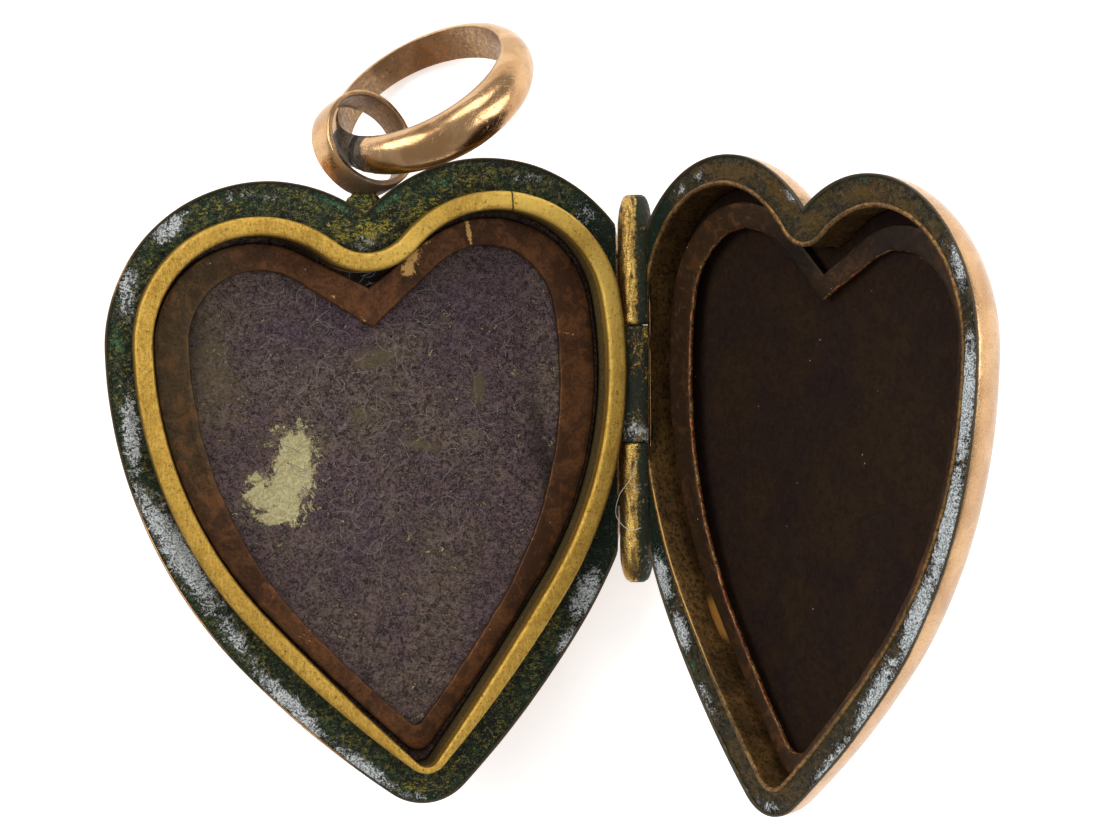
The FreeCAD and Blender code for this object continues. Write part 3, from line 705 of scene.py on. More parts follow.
# painted patches on each ledge: x, y, half width, half height, turn and strength
LEDGE_PATCHES = {
    BACK: {
        "bloom": [
            (-18.8, 7.9, 1.0, 0.5, 35, 0.75), (-20.5, 5.4, 0.5, 1.4, 0, 0.7),
            (-20.4, -0.2, 0.4, 1.9, 4, 0.9), (-18.6, -4.9, 3.3, 0.62, -57, 1.0),
            (-16.4, -8.3, 1.2, 0.4, -48, 0.7), (-14.2, -11.1, 2.3, 0.42, -46, 0.9),
            (-11.3, -13.7, 1.8, 0.34, -35, 0.9), (-2.1, -7.0, 0.6, 1.2, -22, 0.9),
            (-2.9, -8.9, 0.4, 0.8, -25, 0.75), (-4.5, 9.75, 1.2, 0.35, -8, 0.4),
            (-2.0, 8.3, 0.7, 0.5, -40, 0.45), (-15.5, 9.1, 1.6, 0.3, 0, 0.4),
            (-9.3, -14.9, 0.8, 0.25, -8, 0.6), (-10.9, 7.2, 0.9, 0.5, 0, 0.4),
        ],
        "teal": [
            (-11.9, 8.9, 1.3, 0.35, -22, 0.75), (-10.2, 8.8, 0.9, 0.3, 25, 0.6),
            (-20.9, 3.3, 0.35, 1.1, 0, 0.4), (-7.9, 9.6, 0.8, 0.4, 10, 0.35),
            (-13.8, 9.0, 1.0, 0.4, 0, 0.3),
        ],
        "gold": [
            (-10.9, 7.7, 1.9, 0.55, 0, 0.5), (-8.6, 8.5, 1.3, 0.5, 42, 0.42),
            (-6.9, 9.6, 1.0, 0.35, 15, 0.35), (-17.0, 8.6, 1.2, 0.25, 20, 0.3),
            (-9.2, -14.5, 1.2, 0.3, 0, 0.35), (-7.5, -13.6, 0.8, 0.3, 50, 0.3),
        ],
    },
    FRONT: {
        "bloom": [
            (1.6, -6.3, 1.1, 0.6, -62, 0.95), (2.9, -8.3, 1.0, 0.45, -60, 0.95),
            (4.6, -11.0, 1.2, 0.35, -55, 0.5), (20.7, 1.2, 0.6, 2.8, -8, 1.0),
            (19.6, -3.5, 0.6, 2.8, -18, 1.0), (17.8, -7.0, 2.4, 0.6, 62, 1.0),
            (15.3, -10.2, 2.6, 0.6, 52, 0.9), (12.6, -13.0, 2.0, 0.5, 42, 0.9),
            (20.4, 6.3, 0.6, 1.2, 12, 0.75), (17.8, 9.2, 1.0, 0.4, -25, 0.45),
            (10.2, 9.0, 0.8, 0.3, -35, 0.55), (8.6, -14.9, 1.2, 0.3, 0, 0.5),
            (3.1, 9.2, 0.4, 0.3, 30, 0.5), (4.3, 9.8, 0.25, 0.3, 0, 0.6),
        ],
        "teal": [
            (7.0, 10.5, 3.4, 0.28, -3, 0.5), (14.5, 9.6, 2.4, 0.25, -2, 0.45),
            (11.2, 8.7, 0.8, 0.35, 0, 0.5), (1.6, -4.5, 0.5, 1.0, -20, 0.6),
            (3.6, -9.8, 0.8, 0.3, -60, 0.5), (1.6, 7.6, 0.8, 1.2, 0, 0.4),
        ],
        "gold": [
            (6.2, 9.9, 2.9, 0.42, -2, 0.75), (9.6, 8.9, 1.4, 0.5, -38, 0.75),
            (11.6, 7.9, 1.0, 0.5, 0, 0.75), (14.4, 8.9, 2.3, 0.42, 5, 0.7),
            (17.3, 8.3, 1.2, 0.5, -35, 0.55), (19.8, 5.0, 0.5, 1.8, 12, 0.4),
            (6.5, -13.2, 1.5, 0.4, -48, 0.5), (3.0, 8.6, 1.0, 0.5, 40, 0.4),
            (9.6, -14.2, 1.6, 0.4, 0, 0.5),
        ],
    },
}


def build_ledge(name, side, material, node, growth):
    """The flat rim between shell and well, crusted with verdigris."""
    inner = fine_heart("well", growth)
    outer = fine_heart("case", 0.07)
    across = np.linspace(0, 1, 22)
    section = [(share, LEDGE_TOP + 0.02 * math.sin(math.pi * share)) for share in across]
    section += [(1.0, -0.3), (0.4, -0.34), (0.16, -0.3)]
    rings = band(side, outer, inner, section, WAIST + 0.1)
    points, faces = lofted(rings)
    top = np.arange(len(points)) < len(across) * len(rings[0])
    shares = np.repeat([share for share, height in section], len(rings[0]))
    masks = {mask: spots(points, places) for mask, places in LEDGE_PATCHES[side].items()}
    powder = masks["bloom"]
    lumps = 0.045 * wobble(points, 0.55, 1.0, 4) + 0.03 * powder * wobble(points, 0.16, 5.0, 2)
    fade = np.minimum(smooth(0, 0.08, shares), smooth(1.0, 0.93, shares))
    rise = np.clip(lumps + 0.05 * powder, -0.07, 0.09)
    points[top, 2] += (rise * fade)[top]
    away = smooth(0.9, 1.3, np.hypot(points[:, 0], points[:, 2]))
    points[:, 2] = np.where(away < 1, np.minimum(points[:, 2], -0.05), points[:, 2])
    hinge_side = smooth(3.2, 1.6, side * points[:, 0])
    masks["rust"] = np.maximum(0.55 * smooth(0.25, 0.05, shares), 0.9 * hinge_side)
    return case_piece(name, side, material, points, faces, [node], masks)


# shares of the way from the outer to the inner outline, and heights over the rim plane
BEZEL_SECTION = [
    (0.0, -0.36), (0.0, 0.3), (0.0, 0.6), (0.015, 0.66), (0.05, 0.71), (0.12, 0.738), (0.22, 0.745),
    (0.35, 0.748), (0.5, 0.748), (0.65, 0.748), (0.78, 0.745), (0.88, 0.73), (0.95, 0.69),
    (0.985, 0.63), (1.0, 0.55), (1.0, 0.0), (1.0, -0.7), (1.0, -1.48), (0.5, -1.48), (0.0, -1.48),
]


def build_bezel(material):
    """The raised strip that the front half snaps over, with the seam where its ends meet."""
    outer, inner = fine_heart("well"), fine_heart("mouth")
    points, faces = lofted(band(BACK, outer, inner, BEZEL_SECTION))
    crest = smooth(0.3, 0.7, points[:, 2])
    points[:, 2] -= crest * (0.012 + 0.012 * wobble(points, 1.6, 3.0, 3))
    seam = np.exp(-((points[:, 0] + 5.15 + 0.06 * (points[:, 1] - 9)) / 0.035) ** 2) * (points[:, 1] > 7)
    nick = spots(points, [(-6.55, 8.75, 0.1, 0.28, -15, 1.0)])
    points[:, 2] -= crest * (0.07 * seam + 0.10 * nick)
    flat = in_case(outer, BACK)
    middle = np.column_stack([in_case((outer + inner) / 2, BACK), np.zeros(len(outer))])
    hem = np.tile(np.arange(len(flat)), len(BEZEL_SECTION))
    towards = middle[hem] - points
    towards[:, 2] = 0
    wave = 0.03 * np.clip(wobble(points * [1, 1, 0.2], 1.3, 8.0, 2), 0, 1)
    wave += 0.05 * spots(points, [(-17.5, -5.2, 0.5, 0.3, -50, 1)])
    points += towards * (wave * crest)[:, None]
    # dark along the seam; the walls below the crest get painted shade; the spots below darken a few
    # places
    grime_and_shade = 0.9 * seam + 0.5 * smooth(0.55, 0.2, points[:, 2])
    grime_and_shade = np.maximum(grime_and_shade, spots(points, [
        (-0.75, 4.8, 0.35, 1.6, 4, 0.2), (-1.6, 7.2, 0.8, 0.4, -58, 0.35),
        (-4.0, 9.05, 1.6, 0.25, -12, 0.4), (-1.0, -0.5, 0.3, 0.8, 0, 0.3),
        (-8.6, 7.7, 0.7, 0.3, 40, 0.3), (-9.2, -14.1, 0.7, 0.25, 0, 0.45),
        (-19.9, 2.0, 0.2, 2.0, 0, 0.25),
    ]))
    lit = spots(points, [
        (-4.6, 9.0, 2.6, 1.2, -20, 0.7), (-9.0, 7.0, 2.4, 1.4, 0, 0.5), (-1.4, 5.0, 0.9, 3.0, 0, 0.7),
    ])
    away = np.hypot(points[:, 0], points[:, 2])
    tight = (away < BEZEL_SEAT) & (points[:, 1] > SEAT_LOW) & (points[:, 1] < SEAT_HIGH)
    grow = BEZEL_SEAT / away[tight]
    points[tight, 0] *= grow
    points[tight, 2] *= grow
    return case_piece("raised_bezel", BACK, material, points, faces,
                      ["snap_bezel"], {"grime_and_shade": grime_and_shade, "lit": lit})


BACK_FRAME = {"growth": 0.0, "opening": 0.0, "edge_notch": 5.46, "gap_notch": 3.85, "thickness": 0.3}
FRONT_FRAME = {"growth": 0.5, "opening": 0.6, "edge_notch": 5.9, "gap_notch": 4.9, "thickness": 0.2}
# the loose front frame lies tipped on one edge, a little off the middle
FRAME_TIP = 1.65
FRAME_HALF = 9.85
FRAME_SHIFT = 0.2
FRONT_LINING_TOP = -1.55
BACK_LINING_TOP = -1.3


def frame_points(side, bottom, growth, opening, edge_notch, gap_notch, thickness):
    """A flat heart-shaped sheet frame; growth and opening widen its edge and its gap."""
    outer = fine_heart("edge", -growth, edge_notch)
    inner = fine_heart("gap", -opening, gap_notch)
    top = bottom + thickness
    section = [(0.0, bottom + 0.03), (0.0, top - 0.05), (0.02, top - 0.015), (0.06, top)]
    section += [(share, top) for share in (0.2, 0.4, 0.6, 0.8)]
    section += [(0.94, top), (0.98, top - 0.015), (1.0, top - 0.05)]
    section += [(1.0, bottom + 0.03), (0.95, bottom), (0.05, bottom)]
    rings = band(side, outer, inner, section)
    points, faces = lofted(rings)
    shares = np.repeat([share for share, height in section], len(rings[0]))
    return rings, points, faces, shares


def build_frames(back_material, front_material):
    """The two loose copper sheets cut by hand to hold a picture."""
    rings, points, faces, shares = frame_points(BACK, BACK_LINING_TOP, **BACK_FRAME)
    points = cut_by_hand(rings, points, shares, 4.0)
    points[:, 2] += 0.02 * wobble(points, 4.0, 9.0, 2)
    bare = spots(points, [
        (-8.75, 7.35, 0.5, 0.45, 20, 0.8), (-8.95, 6.75, 0.4, 0.55, 0, 0.75),
        (-9.1, 6.15, 0.32, 0.3, 30, 0.95), (-6.62, 7.7, 0.1, 0.6, 12, 1.0),
        (-6.85, 8.6, 0.5, 0.2, 40, 0.4), (-2.6, 3.5, 0.45, 0.05, -10, 0.55),
        (-13.45, -8.4, 0.5, 0.06, 32, 0.5), (-13.2, -8.7, 0.5, 0.05, 35, 0.45),
        (-12.3, -8.95, 0.3, 0.05, 30, 0.4), (-6.0, -8.35, 0.3, 0.04, -30, 0.4),
        (-10.9, 4.15, 0.25, 0.12, 0, 0.5), (-12.0, 4.9, 0.7, 0.06, -50, 0.45),
    ])
    edge = 0.35 * smooth(0.9, 1.0, shares)
    left = smooth(-14.5, -17.5, points[:, 0]) * smooth(-5, 0, points[:, 1])
    masks = {"bare": bare, "edge": edge, "side": left}
    case_piece("back_frame", BACK, back_material, points, faces, ["back_photo_frame"], masks)
    rings, points, faces, shares = frame_points(FRONT, 0.0, **FRONT_FRAME)
    points = cut_by_hand(rings, points, shares, 6.0)
    tip = math.radians(FRAME_TIP)
    lifted = FRONT_LINING_TOP + FRAME_HALF * math.sin(tip)
    away = points[:, 0] - HEART_OFFSET
    points[:, 0] = HEART_OFFSET + FRAME_SHIFT + away * math.cos(tip) + points[:, 2] * math.sin(tip)
    points[:, 2] = lifted - away * math.sin(tip) + points[:, 2] * math.cos(tip)
    edge = 0.85 * smooth(0.93, 1.0, shares)
    shade = spots(points, [
        (9.2, 6.6, 2.0, 2.2, 0, 0.95), (10.8, 5.0, 0.8, 1.0, 0, 0.6),
        (4.0, -4.0, 2.0, 9.0, 15, 0.4), (15.5, 7.0, 4.0, 3.0, 0, 0.8),
        (19.3, 0.0, 1.6, 9.0, -8, 0.8),
    ])
    bare = 0.5 * smooth(0.97, 1.0, shares)
    # the side mask is set over the whole front frame, so all of it takes the darker side colour as
    # painted shade
    masks = {"edge": edge, "bare": bare, "side": np.ones(len(points)), "shade": shade}
    case_piece("front_frame", FRONT, front_material, points, faces,
               ["front_photo_frame"], masks)


def cut_by_hand(rings, points, shares, seed):
    """Shift the edges a little, as snips leave them."""
    count = len(rings[0])
    centre = points.mean(0)
    towards = centre - points
    towards[:, 2] = 0
    towards /= np.linalg.norm(towards, axis=1)[:, None]
    snip = wobble(points[:count] * [1, 1, 0], 1.1, seed, 3)
    inner = wobble(points[:count] * [1, 1, 0], 0.9, seed + 3, 3)
    outer_share = np.tile(np.clip(snip, -1, 1), len(rings)) * (1 - shares)
    inner_share = np.tile(np.clip(inner, -1, 1), len(rings)) * shares
    move = 0.02 * (1 - shares) + 0.02 * outer_share - 0.035 * inner_share
    return points + towards * move[:, None]


def build_cloth(name, side, outline, height, material, node, tufts, masks_for):
    """A thin sheet of felt or paper in the bottom of a well, dense enough to show its tufts."""
    middle = np.array([side * HEART_OFFSET, 0.0])
    flat = in_case(outline, side)
    shares = np.linspace(1.0, 0.0, 110, endpoint=False)
    rings = [raised(middle + (flat - middle) * share, height) for share in shares]
    under = [raised(middle + (flat - middle) * share, height - 0.18) for share in (0.2, 1.0)]
    points, faces = capped(under + rings)
    top = points[:, 2] > height - 0.05
    rise = tufts * wobble(points, 0.5, 2.0 + side, 4) + 0.6 * tufts * wobble(points, 0.16, 6.0, 2)
    swell = 0.05 * wobble(points, 3.5, 4.0 + side, 2)
    points[top, 2] += (rise + swell)[top]
    return case_piece(name, side, material, points, faces, [node], masks_for(points))


def back_felt_masks(points):
    worn = spots(points, [
        (-13.7, -1.1, 0.8, 0.9, -10, 1.0), (-13.8, -2.0, 0.95, 1.0, 0, 1.0),
        (-14.6, -2.7, 1.15, 0.8, 10, 1.0), (-14.1, -3.3, 0.9, 0.6, 0, 0.95),
        (-15.1, -3.0, 0.6, 0.45, 0, 0.8), (-15.3, -2.2, 0.4, 0.35, 0, 0.6),
        (-13.5, -0.3, 0.35, 0.5, 0, 0.6), (-14.7, -3.7, 0.55, 0.35, 0, 0.7),
    ])
    sallow = spots(points, [
        (-10.9, 0.3, 0.45, 0.4, 0, 0.75), (-10.3, 2.6, 1.5, 0.5, 8, 0.6),
        (-9.9, 1.2, 1.2, 0.8, 30, 0.35), (-8.7, -0.9, 0.9, 0.25, -10, 0.85),
        (-6.2, 1.4, 0.35, 0.6, 0, 0.85), (-17.1, 2.0, 1.3, 3.4, 5, 0.55),
        (-12.6, -0.9, 0.25, 0.35, 0, 0.5), (-8.0, -5.0, 1.8, 1.6, 0, 0.25),
        (-14.8, -0.8, 0.8, 1.2, 0, 0.35), (-9.2, -0.5, 0.5, 0.4, 0, 0.4),
    ])
    plum = spots(points, [
        (-13.2, 4.2, 2.6, 2.2, 0, 1.0), (-7.0, 4.6, 2.0, 2.6, 0, 0.8),
        (-10.5, -4.5, 2.4, 2.4, 0, 0.5),
    ])
    # painted shade: the felt is darkened where it shows in the gaps between the bezel and the frame
    grime_and_shade = spots(points, [
        (-10.7, 5.85, 1.5, 0.6, 0, 1.0), (-12.9, 7.1, 1.5, 0.5, -28, 1.0),
        (-8.7, 7.2, 1.5, 0.55, 40, 1.0), (-3.2, -3.0, 0.5, 4.5, 12, 0.7),
        (-17.9, 4.5, 0.5, 4.0, 0, 0.5),
    ])
    return {"worn": worn, "sallow": sallow, "plum": plum, "grime_and_shade": grime_and_shade}


def build_fibres(material):
    """Loose curly fibres of the felt's nap."""
    random = np.random.RandomState(11)
    points, faces = [], []
    steps = np.linspace(0, 1, 9)
    for candidate in range(420):
        x, y = random.uniform(-18, -3.5), random.uniform(-11.5, 7.5)
        length, heading = random.uniform(0.35, 1.3), random.uniform(0, 2 * math.pi)
        bend = random.uniform(-2.6, 2.6)
        turns = heading + bend * (steps - 0.5)
        line = np.cumsum(np.column_stack([np.cos(turns), np.sin(turns)]) * length / 9, axis=0)
        height = -1.23 + random.uniform(0.0, 0.05) + 0.05 * np.sin(math.pi * steps)
        centre = np.column_stack([line + [x, y], height])
        inside = np.hypot((centre[:, 0] + 10.6) / 7.4, (centre[:, 1] - 1.0) / 8.6)
        narrow = np.abs(centre[:, 0] + 10.0) < 5.6 + 0.56 * np.minimum(centre[:, 1] + 2.0, 0)
        if inside.max() > 0.93 or not narrow.all():
            continue
        normal = np.column_stack([-np.sin(turns), np.cos(turns), np.zeros(9)])
        base = sum(len(block) for block in points)
        for across, up in ((-0.009, 0.0), (0.0, 0.009), (0.009, 0.0)):
            points.append(centre + normal * across + [0, 0, up])
        for i in range(8):
            a, b, c = base + i, base + 9 + i, base + 18 + i
            faces += [(a, a + 1, b + 1, b), (b, b + 1, c + 1, c), (c, c + 1, a + 1, a)]
    return case_piece("felt_fibres", BACK, material, np.concatenate(points), faces)


def front_backing_masks(points):
    """Where the paper has come away along the hinge side, the gilt floor shows."""
    return {"gilt": spots(points, [(3.7, -7.8, 1.5, 0.28, -63, 0.85), (4.6, -9.4, 0.8, 0.2, -60, 0.6)])}


def build_front_wall(material):
    """The strip round the front well; its top edge is painted as a bright line, partly a bare worn edge
    and partly a painted highlight.
    """
    outer, inner = fine_heart("well", -0.3), fine_heart("well", -0.1)
    section = [(0.0, -1.5), (0.0, -0.1), (0.1, -0.045), (0.5, -0.03), (0.9, -0.045), (1.0, -0.1)]
    section += [(1.0, -height) for height in (0.3, 0.6, 0.9, 1.2, 1.5, 1.75)]
    section += [(0.9, -1.75)]
    rings = band(FRONT, outer, inner, section, WAIST + WALL)
    points, faces = lofted(rings)
    shares = np.repeat([share for share, height in section], len(rings[0]))
    # the bright top edge along the hinge side is partly bare metal and partly a painted highlight; the
    # foot patch brightens the wall's foot low on the hinge side
    bare = 0.66 * smooth(-0.16, -0.05, points[:, 2]) * smooth(0.2, 0.8, shares)
    bare = bare * smooth(9, 4, points[:, 0]) * np.maximum(smooth(-1.5, -3.0, points[:, 1]), 0.7)
    foot = spots(points, [(3.5, -8.2, 1.9, 0.6, -63, 1.0)])
    foot *= smooth(-0.95, -1.25, points[:, 2]) * smooth(0.5, 1.0, shares)
    bare = np.maximum(bare, foot)
    teal = spots(points, [
        (2.0, 6.0, 1.2, 2.5, 0, 0.4), (2.6, -2.5, 1.0, 1.2, 0, 0.5), (12.0, 7.5, 2.5, 0.8, 0, 0.3),
    ])
    points[:, :2] += 0.012 * np.column_stack([wobble(points, 0.9, 3.0, 2), wobble(points, 0.9, 5.0, 2)])
    return case_piece("front_inner_wall", FRONT, material, points, faces,
                      ["front_well_wall"], {"bare": bare, "teal": teal})


# ---- hinge ----

def build_knuckle(name, side, start, end, low_round, high_round, material, node, masks_for):
    """One barrel length, turned, with softened ends."""
    rings = []
    angles = np.linspace(0, 2 * math.pi, 72, endpoint=False)
    for y in start + (end - start) * np.linspace(0, 1, 60):
        radius = BARREL_RADIUS
        for from_end, is_round in ((y - start, low_round), (end - y, high_round)):
            if is_round:
                reach = min(1.0, from_end / END_TAPER)
                swell = math.sqrt(max(1 - (1 - reach) ** 2.2, 0.0))
                radius = min(radius, PIN_RADIUS + (BARREL_RADIUS - PIN_RADIUS) * swell)
            else:
                radius = min(radius, BARREL_RADIUS - max(0.0, 0.05 - from_end))
        ring = np.column_stack([radius * np.cos(angles), 0 * angles + y, -radius * np.sin(angles)])
        rings.append(ring)
    points, faces = capped(rings)
    worn = 0.012 * wobble(points * [1, 0.5, 1], 0.7, 4.0, 3)
    reach = np.hypot(points[:, 0], points[:, 2])
    scale = np.where(reach > 0.1, 1 - np.clip(worn + 0.008, 0, 0.03) / np.maximum(reach, 0.1), 1.0)
    points[:, 0] *= scale
    points[:, 2] *= scale
    return case_piece(name, side, material, points, faces, [node], masks_for(points))


def gold_barrel_masks(points):
    # the case frame of the front is tilted, so the side away from the back half is up at +X
    turn = np.degrees(np.arctan2(points[:, 2], points[:, 0])) - TILT[FRONT]
    turn = (turn + 180) % 360 - 180
    green = 0.75 * smooth(98, 72, turn)
    # painted shade: the upper side towards the back half is darkened
    grime_and_shade = 0.45 * smooth(125, 160, turn)
    low = points[:, 1] < 0
    unrolled = np.column_stack([turn / 40, points[:, 1]])
    bloom = spots(unrolled, [(0.6, -5.6, 0.8, 0.7, 0, 0.6), (2.2, -2.8, 0.5, 0.25, 0, 0.55)])
    stain = spots(unrolled, [(1.5, -5.0, 0.5, 0.9, 0, 0.45), (1.2, 7.4, 0.5, 0.6, 0, 0.3)])
    green = np.maximum(green, stain)
    return {"teal": green, "grime_and_shade": grime_and_shade, "bloom": np.where(low, bloom, 0.4 * bloom)}


def grey_barrel_masks(points):
    bloom = spots(points, [(0.1, -0.45, 2.0, 0.6, 0, 0.62)])
    green = np.full(len(points), 0.48) + spots(points, [(0.3, 1.0, 2.0, 0.9, 0, 0.3)])
    return {"teal": green, "grime_and_shade": np.full(len(points), 0.3), "bloom": bloom}


# ---- the fixed loop, the bail and their solder ----

LOOP_CENTRE = Vector((-10.89, 11.18, -0.88))
LOOP_AXIS = Vector((0.5, 0.45, 1.0)).normalized()
LOOP_RADIUS, LOOP_THICKNESS, LOOP_WIDTH = 2.1, 0.27, 1.3


def axes_matrix(origin, x_axis, z_axis):
    z_axis = z_axis.normalized()
    y_axis = z_axis.cross(x_axis).normalized()
    x_axis = y_axis.cross(z_axis)
    turn = Matrix((x_axis, y_axis, z_axis)).transposed().to_4x4()
    return Matrix.Translation(origin) @ turn


def swept_ring(section_at, around, start=0.0, end=360.0, closed=True):
    """Sections turned about Z; section_at(azimuth) gives (radius, height) rows."""
    rings = []
    for azimuth in np.linspace(start, end, around, endpoint=not closed):
        a = math.radians(azimuth)
        section = section_at(azimuth)
        reach, height = section.T
        rings.append(np.column_stack([reach * math.cos(a), reach * math.sin(a), height]))
    return lofted(rings) if closed else capped(rings)


def round_rectangle(near, far, half, corner, bulge=0.0):
    """A flat strip's section with softened corners and a slightly crowned outside."""
    rows = []
    for cx, cy, first in ((far - corner, half - corner, 0), (near + corner, half - corner, 90),
                          (near + corner, corner - half, 180), (far - corner, corner - half, 270)):
        for angle in np.radians(first + np.array([0, 30, 60, 90])):
            rows.append((cx + corner * math.cos(angle), cy + corner * math.sin(angle)))
        if first == 270:
            for share in (0.2, 0.4, 0.6, 0.8):
                rows.append((far + bulge * math.sin(math.pi * share), (2 * share - 1) * (half - corner)))
    return np.array(rows)


def build_loop(material):
    near = LOOP_RADIUS - LOOP_THICKNESS

    def section(azimuth):
        a = math.radians(azimuth)
        thick = LOOP_THICKNESS - 0.02 * (1 + math.sin(3 * a + 1))
        half = LOOP_WIDTH / 2 - 0.03 * (1 + math.sin(2 * a + 0.6))
        return round_rectangle(near, near + thick, half, 0.07, 0.03)

    points, faces = swept_ring(section, 160)
    place = case_matrix(BACK) @ axes_matrix(LOOP_CENTRE, Vector((1, 0, 0)), LOOP_AXIS)
    points[:, 2] += 0.02 * wobble(points, 1.2, 3.0, 2)
    foot = smooth(-1.0, -2.0, points[:, 1])
    inside = smooth(LOOP_RADIUS - 0.1, LOOP_RADIUS - 0.25, np.hypot(points[:, 0], points[:, 1]))
    # a little darker all over, more at the soldered foot, and darker on the inner face
    masks = {"grime_and_shade": np.maximum(0.22 + 0.3 * foot, 0.48 * inside)}
    return new_piece("fixed_ring", "back", material, points, faces, place,
                     ["fixed_loop"], masks)


def build_crust(material):
    """The lump of solder and verdigris that fills the cleft under the loop."""
    middle, reach = np.array([-10.95, 8.72, -0.42]), np.array([0.78, 0.52, 0.36])
    rings = []
    angles = np.linspace(0, 2 * math.pi, 72, endpoint=False)
    for polar in np.radians(np.linspace(4, 176, 44)):
        flat = np.sin(polar) * np.array([np.cos(angles), np.sin(angles)])
        rings.append(middle + reach * np.column_stack([*flat, 0 * angles + np.cos(polar)]))
    points, faces = capped(rings)
    points += (points - middle) * (0.22 * wobble(points, 0.35, 2.0, 4))[:, None]
    points[:, 2] = np.minimum(points[:, 2], -0.06)
    even = np.ones(len(points))
    masks = {"bloom": 0 * even, "teal": 0.25 * even, "gold": 0.35 * even, "rust": 0 * even}
    return case_piece("loop_crust", BACK, material, points, faces, ["loop_solder"], masks)


BAIL_BORE = 3.6
BAIL_CENTRE = HINGE + Vector((-8.28, 13.02, 1.29)) * MM
BAIL_AXIS = Vector((-0.379, 0.778, 0.501)).normalized()
BAIL_LINK = Vector((-0.814, -0.538, 0.2197))
BAIL_JOINT = 16.0
BAIL_SEAM_HALF = 2.6
BAIL_JOINT_LAP = 0.6


def bail_section(azimuth, grow=0.0):
    """Half-round with a soft inner face; wider and thicker on the heavy side."""
    heavy = math.radians(azimuth - 110.0)
    half = (1.65 + 0.42 * math.cos(heavy)) / 2 + grow
    proud = 0.78 + 0.22 * math.cos(heavy) + grow
    rows = []
    for t in np.linspace(-90, 90, 19):
        a = math.radians(t)
        rows.append((BAIL_BORE + proud * math.cos(a) ** 0.92, half * math.sin(a)))
    for share in (0.94, 0.8, 0.5, 0.0, -0.5, -0.8, -0.94):
        rows.append((BAIL_BORE + 0.004, half * share))
    return np.array(rows)


def build_bail(material, joint_material):
    place = axes_matrix(BAIL_CENTRE, BAIL_LINK, BAIL_AXIS) @ Matrix.Scale(MM, 4)
    before, after = BAIL_JOINT - BAIL_SEAM_HALF, BAIL_JOINT + BAIL_SEAM_HALF
    points, faces = swept_ring(bail_section, 260, after, before + 360, False)
    reach = np.hypot(points[:, 0], points[:, 1])
    outside = smooth(BAIL_BORE + 0.05, BAIL_BORE + 0.4, reach)
    dent = 0.022 * np.clip(wobble(points, 1.4, 6.0, 2) + 0.3, 0, 1) * outside
    points[:, :2] *= (1 - dent / reach)[:, None]
    azimuth = np.degrees(np.arctan2(points[:, 1], points[:, 0]))
    torn = 5.0 * wobble(points, 0.5, 3.0, 3)
    near_joint = smooth(19.0, 15.0, np.abs(azimuth - 7.0) + torn)
    blob = 0.05 * near_joint * np.clip(0.4 + wobble(points, 0.5, 9.0, 3), -0.3, 1)
    points[:, :2] *= (1 + blob * outside / reach)[:, None]
    inside = smooth(BAIL_BORE + 0.12, BAIL_BORE + 0.02, reach)
    # dark at the soldered joint and darker on the inner face
    masks = {"grime_and_shade": np.maximum(0.95 * near_joint, 0.42 * inside)}
    new_piece("bail_band", "bail", material, points, faces, place, ["bail_ring"], masks)
    filled = [before - BAIL_JOINT_LAP, after + BAIL_JOINT_LAP]
    points, faces = swept_ring(lambda azimuth: bail_section(azimuth, -0.01), 24, *filled, False)
    new_piece("bail_joint", "bail", joint_material, points, faces, place, ["bail_solder"])


LINT_PATH = [(-0.2, -1.6, 0.95), (-0.45, -2.3, 0.93), (-0.85, -3.0, 0.6),
             (-0.95, -3.8, 0.45), (-0.55, -4.35, 0.75), (-0.05, -4.3, 1.0)]
LINT_RADIUS = 0.012


def build_lint(material):
    """A lint fibre: a thin round thread along a smooth curve through a few points."""
    path = np.array(LINT_PATH)
    line = np.linspace(0, len(path) - 1, 90)
    index = np.clip(line.astype(int), 0, len(path) - 2)
    t = (line - index)[:, None]
    before = path[np.clip(index - 1, 0, len(path) - 1)]
    after = path[np.clip(index + 2, 0, len(path) - 1)]
    here, there = path[index], path[index + 1]
    curve = 0.5 * (2 * here + (there - before) * t + (2 * before - 5 * here + 4 * there - after) * t ** 2
                   + (3 * here - before - 3 * there + after) * t ** 3)
    ahead = np.gradient(curve, axis=0)
    ahead /= np.linalg.norm(ahead, axis=1)[:, None]
    side = np.cross(ahead, [0.3, 0.2, 1.0])
    side /= np.linalg.norm(side, axis=1)[:, None]
    up = np.cross(side, ahead)
    angles = np.linspace(0, 2 * math.pi, 6, endpoint=False)
    rings = []
    for p, s, u in zip(curve, side, up):
        rings.append(p + LINT_RADIUS * (np.outer(np.cos(angles), s) + np.outer(np.sin(angles), u)))
    points, faces = capped(rings)
    return case_piece("lint_fibre", BACK, material, points, faces)


# ---- build ----

rose_gold = rose_gold_look()
build_shell("back_case", BACK, rose_gold)
build_shell("front_case", FRONT, rose_gold)
back_verdigris = verdigris_look("back_verdigris_look", False)
build_ledge("back_ledge", BACK, back_verdigris, "back_rim_plate", 0.02)
build_ledge("front_ledge", FRONT, verdigris_look("front_verdigris_look", True), "front_rim_plate", -0.28)
build_bezel(yellow_gold_look())
# the front frame's copy paints shade over the whole sheet
build_frames(copper_look("back_copper_look", True), copper_look("front_copper_look", False))
build_cloth("back_felt", BACK, heart("mouth", 0.05), BACK_LINING_TOP, felt_look(),
            "back_lining", 0.035, back_felt_masks)
build_cloth("front_backing", FRONT, heart("well", -0.06), FRONT_LINING_TOP - 0.01, backing_look(),
            "front_lining", 0.02, front_backing_masks)
build_front_wall(wall_look())

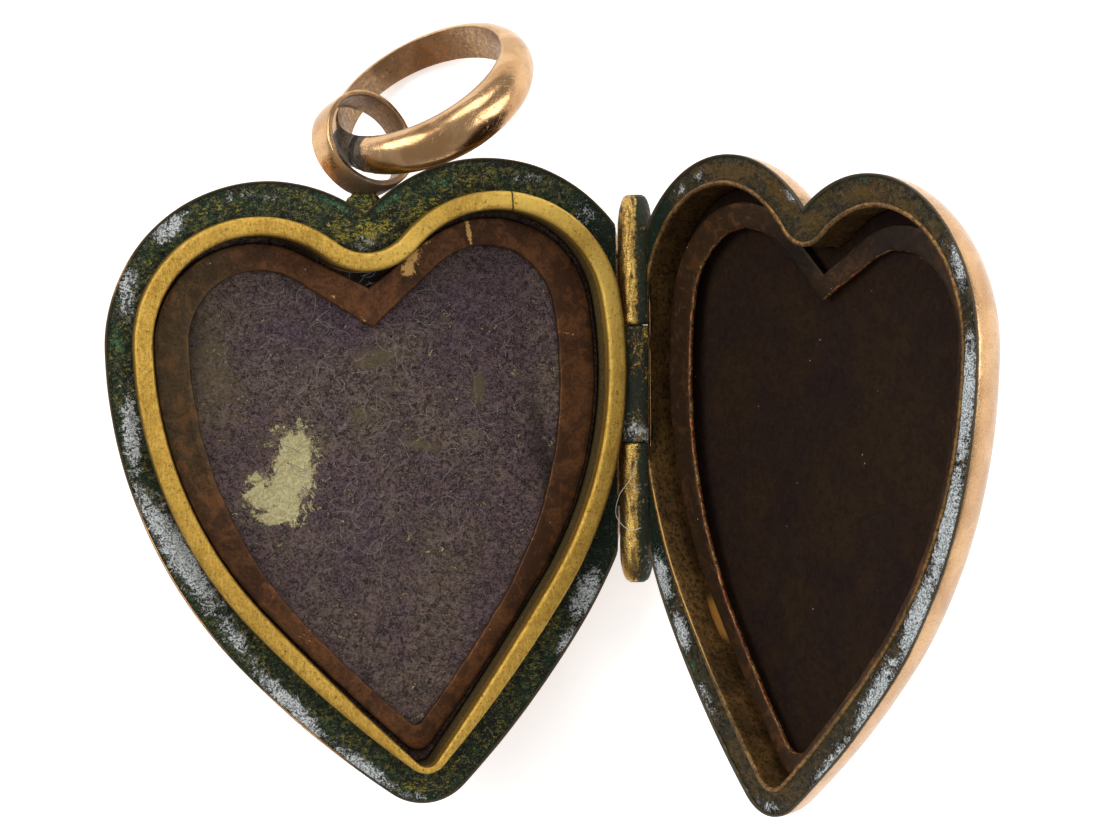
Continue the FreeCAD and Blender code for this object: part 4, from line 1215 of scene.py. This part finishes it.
hinge_gold = hinge_look()
build_knuckle("hinge_upper", FRONT, 3.85, 9.07, False, True,
              hinge_gold, "upper_knuckle", gold_barrel_masks)
build_knuckle("hinge_lower", FRONT, -6.53, -0.91, True, False,
              hinge_gold, "lower_knuckle", gold_barrel_masks)
build_knuckle("hinge_middle", BACK, -0.87, 3.81, False, False,
              hinge_gold, "middle_knuckle", grey_barrel_masks)

build_crust(back_verdigris)
link_gold = link_look()
build_loop(link_gold)
build_bail(link_gold, solder_look("bail_solder_look"))

cad_looks = {
    "back_well_floor": gilt_look("back_floor_look"),
    "front_well_floor": gilt_look("front_floor_look"),
    "hinge_pin": solder_look("pin_look", True),
}
for node, material in cad_looks.items():
    mesh = frame["nodes"][node].data
    mesh.materials.clear()
    mesh.materials.append(material)

build_fibres(thread_look("nap_look", (150, 138, 130), (135, 124, 117)))
build_lint(thread_look("lint_look", (214, 206, 190), (194, 186, 172)))


# ---- floor, light, camera ----

floor_low = min(corner[2] for corner in cad_box)
bpy.ops.mesh.primitive_plane_add(size=3.0, location=(0, 0, floor_low))
floor = bpy.context.object
floor.name = "floor"
paper = bpy.data.materials.new("floor_look")
paper.use_nodes = True
surface = paper.node_tree.nodes["Principled BSDF"].inputs
surface["Base Color"].default_value = (0.93, 0.93, 0.93, 1)
surface["Roughness"].default_value = 0.9
surface["Specular IOR Level"].default_value = 0.1
surface["Emission Color"].default_value = (1, 1, 1, 1)
surface["Emission Strength"].default_value = 0.45
floor.data.materials.append(paper)

world = bpy.data.worlds.new("studio")
world.use_nodes = True
background = world.node_tree.nodes["Background"].inputs
background["Color"].default_value = (1, 1, 1, 1)
background["Strength"].default_value = 0.45
bpy.context.scene.world = world


def softbox(name, place, power, wide, high):
    data = bpy.data.lights.new(name, "AREA")
    data.shape = "RECTANGLE"
    data.size, data.size_y = wide, high
    data.energy = power
    lamp = bpy.data.objects.new(name, data)
    bpy.context.scene.collection.objects.link(lamp)
    lamp.location = place
    lamp.rotation_mode = "QUATERNION"
    lamp.rotation_quaternion = (-Vector(place)).to_track_quat("-Z", "Y")


softbox("left_box", (-0.24, 0.1, 0.20), 0.55, 0.16, 0.22)
softbox("right_box", (0.26, 0.02, 0.16), 0.45, 0.14, 0.22)
softbox("top_box", (0.02, 0.26, 0.20), 0.35, 0.24, 0.12)

bpy.context.scene.view_settings.view_transform = "Standard"

# The camera looks straight down from above, very slightly tipped and turned to the object.
LENS = 152.48
PITCH, ROLL = 0.0361, 0.00784
CAMERA_PLACE = (-3.064, 0.0, 191.2)
camera_data = bpy.data.cameras.new("camera")
camera_data.sensor_width = 36.0
camera_data.lens = LENS
camera = bpy.data.objects.new("camera", camera_data)
bpy.context.scene.collection.objects.link(camera)
seen = (Matrix.Rotation(ROLL, 3, "Z") @ Matrix.Rotation(PITCH, 3, "X")).transposed()
camera.location = HINGE + seen @ Vector(CAMERA_PLACE) * MM
camera.rotation_mode = "QUATERNION"
camera.rotation_quaternion = seen.to_quaternion()
camera_data.clip_start, camera_data.clip_end = 0.01, 10.0
bpy.context.scene.camera = camera
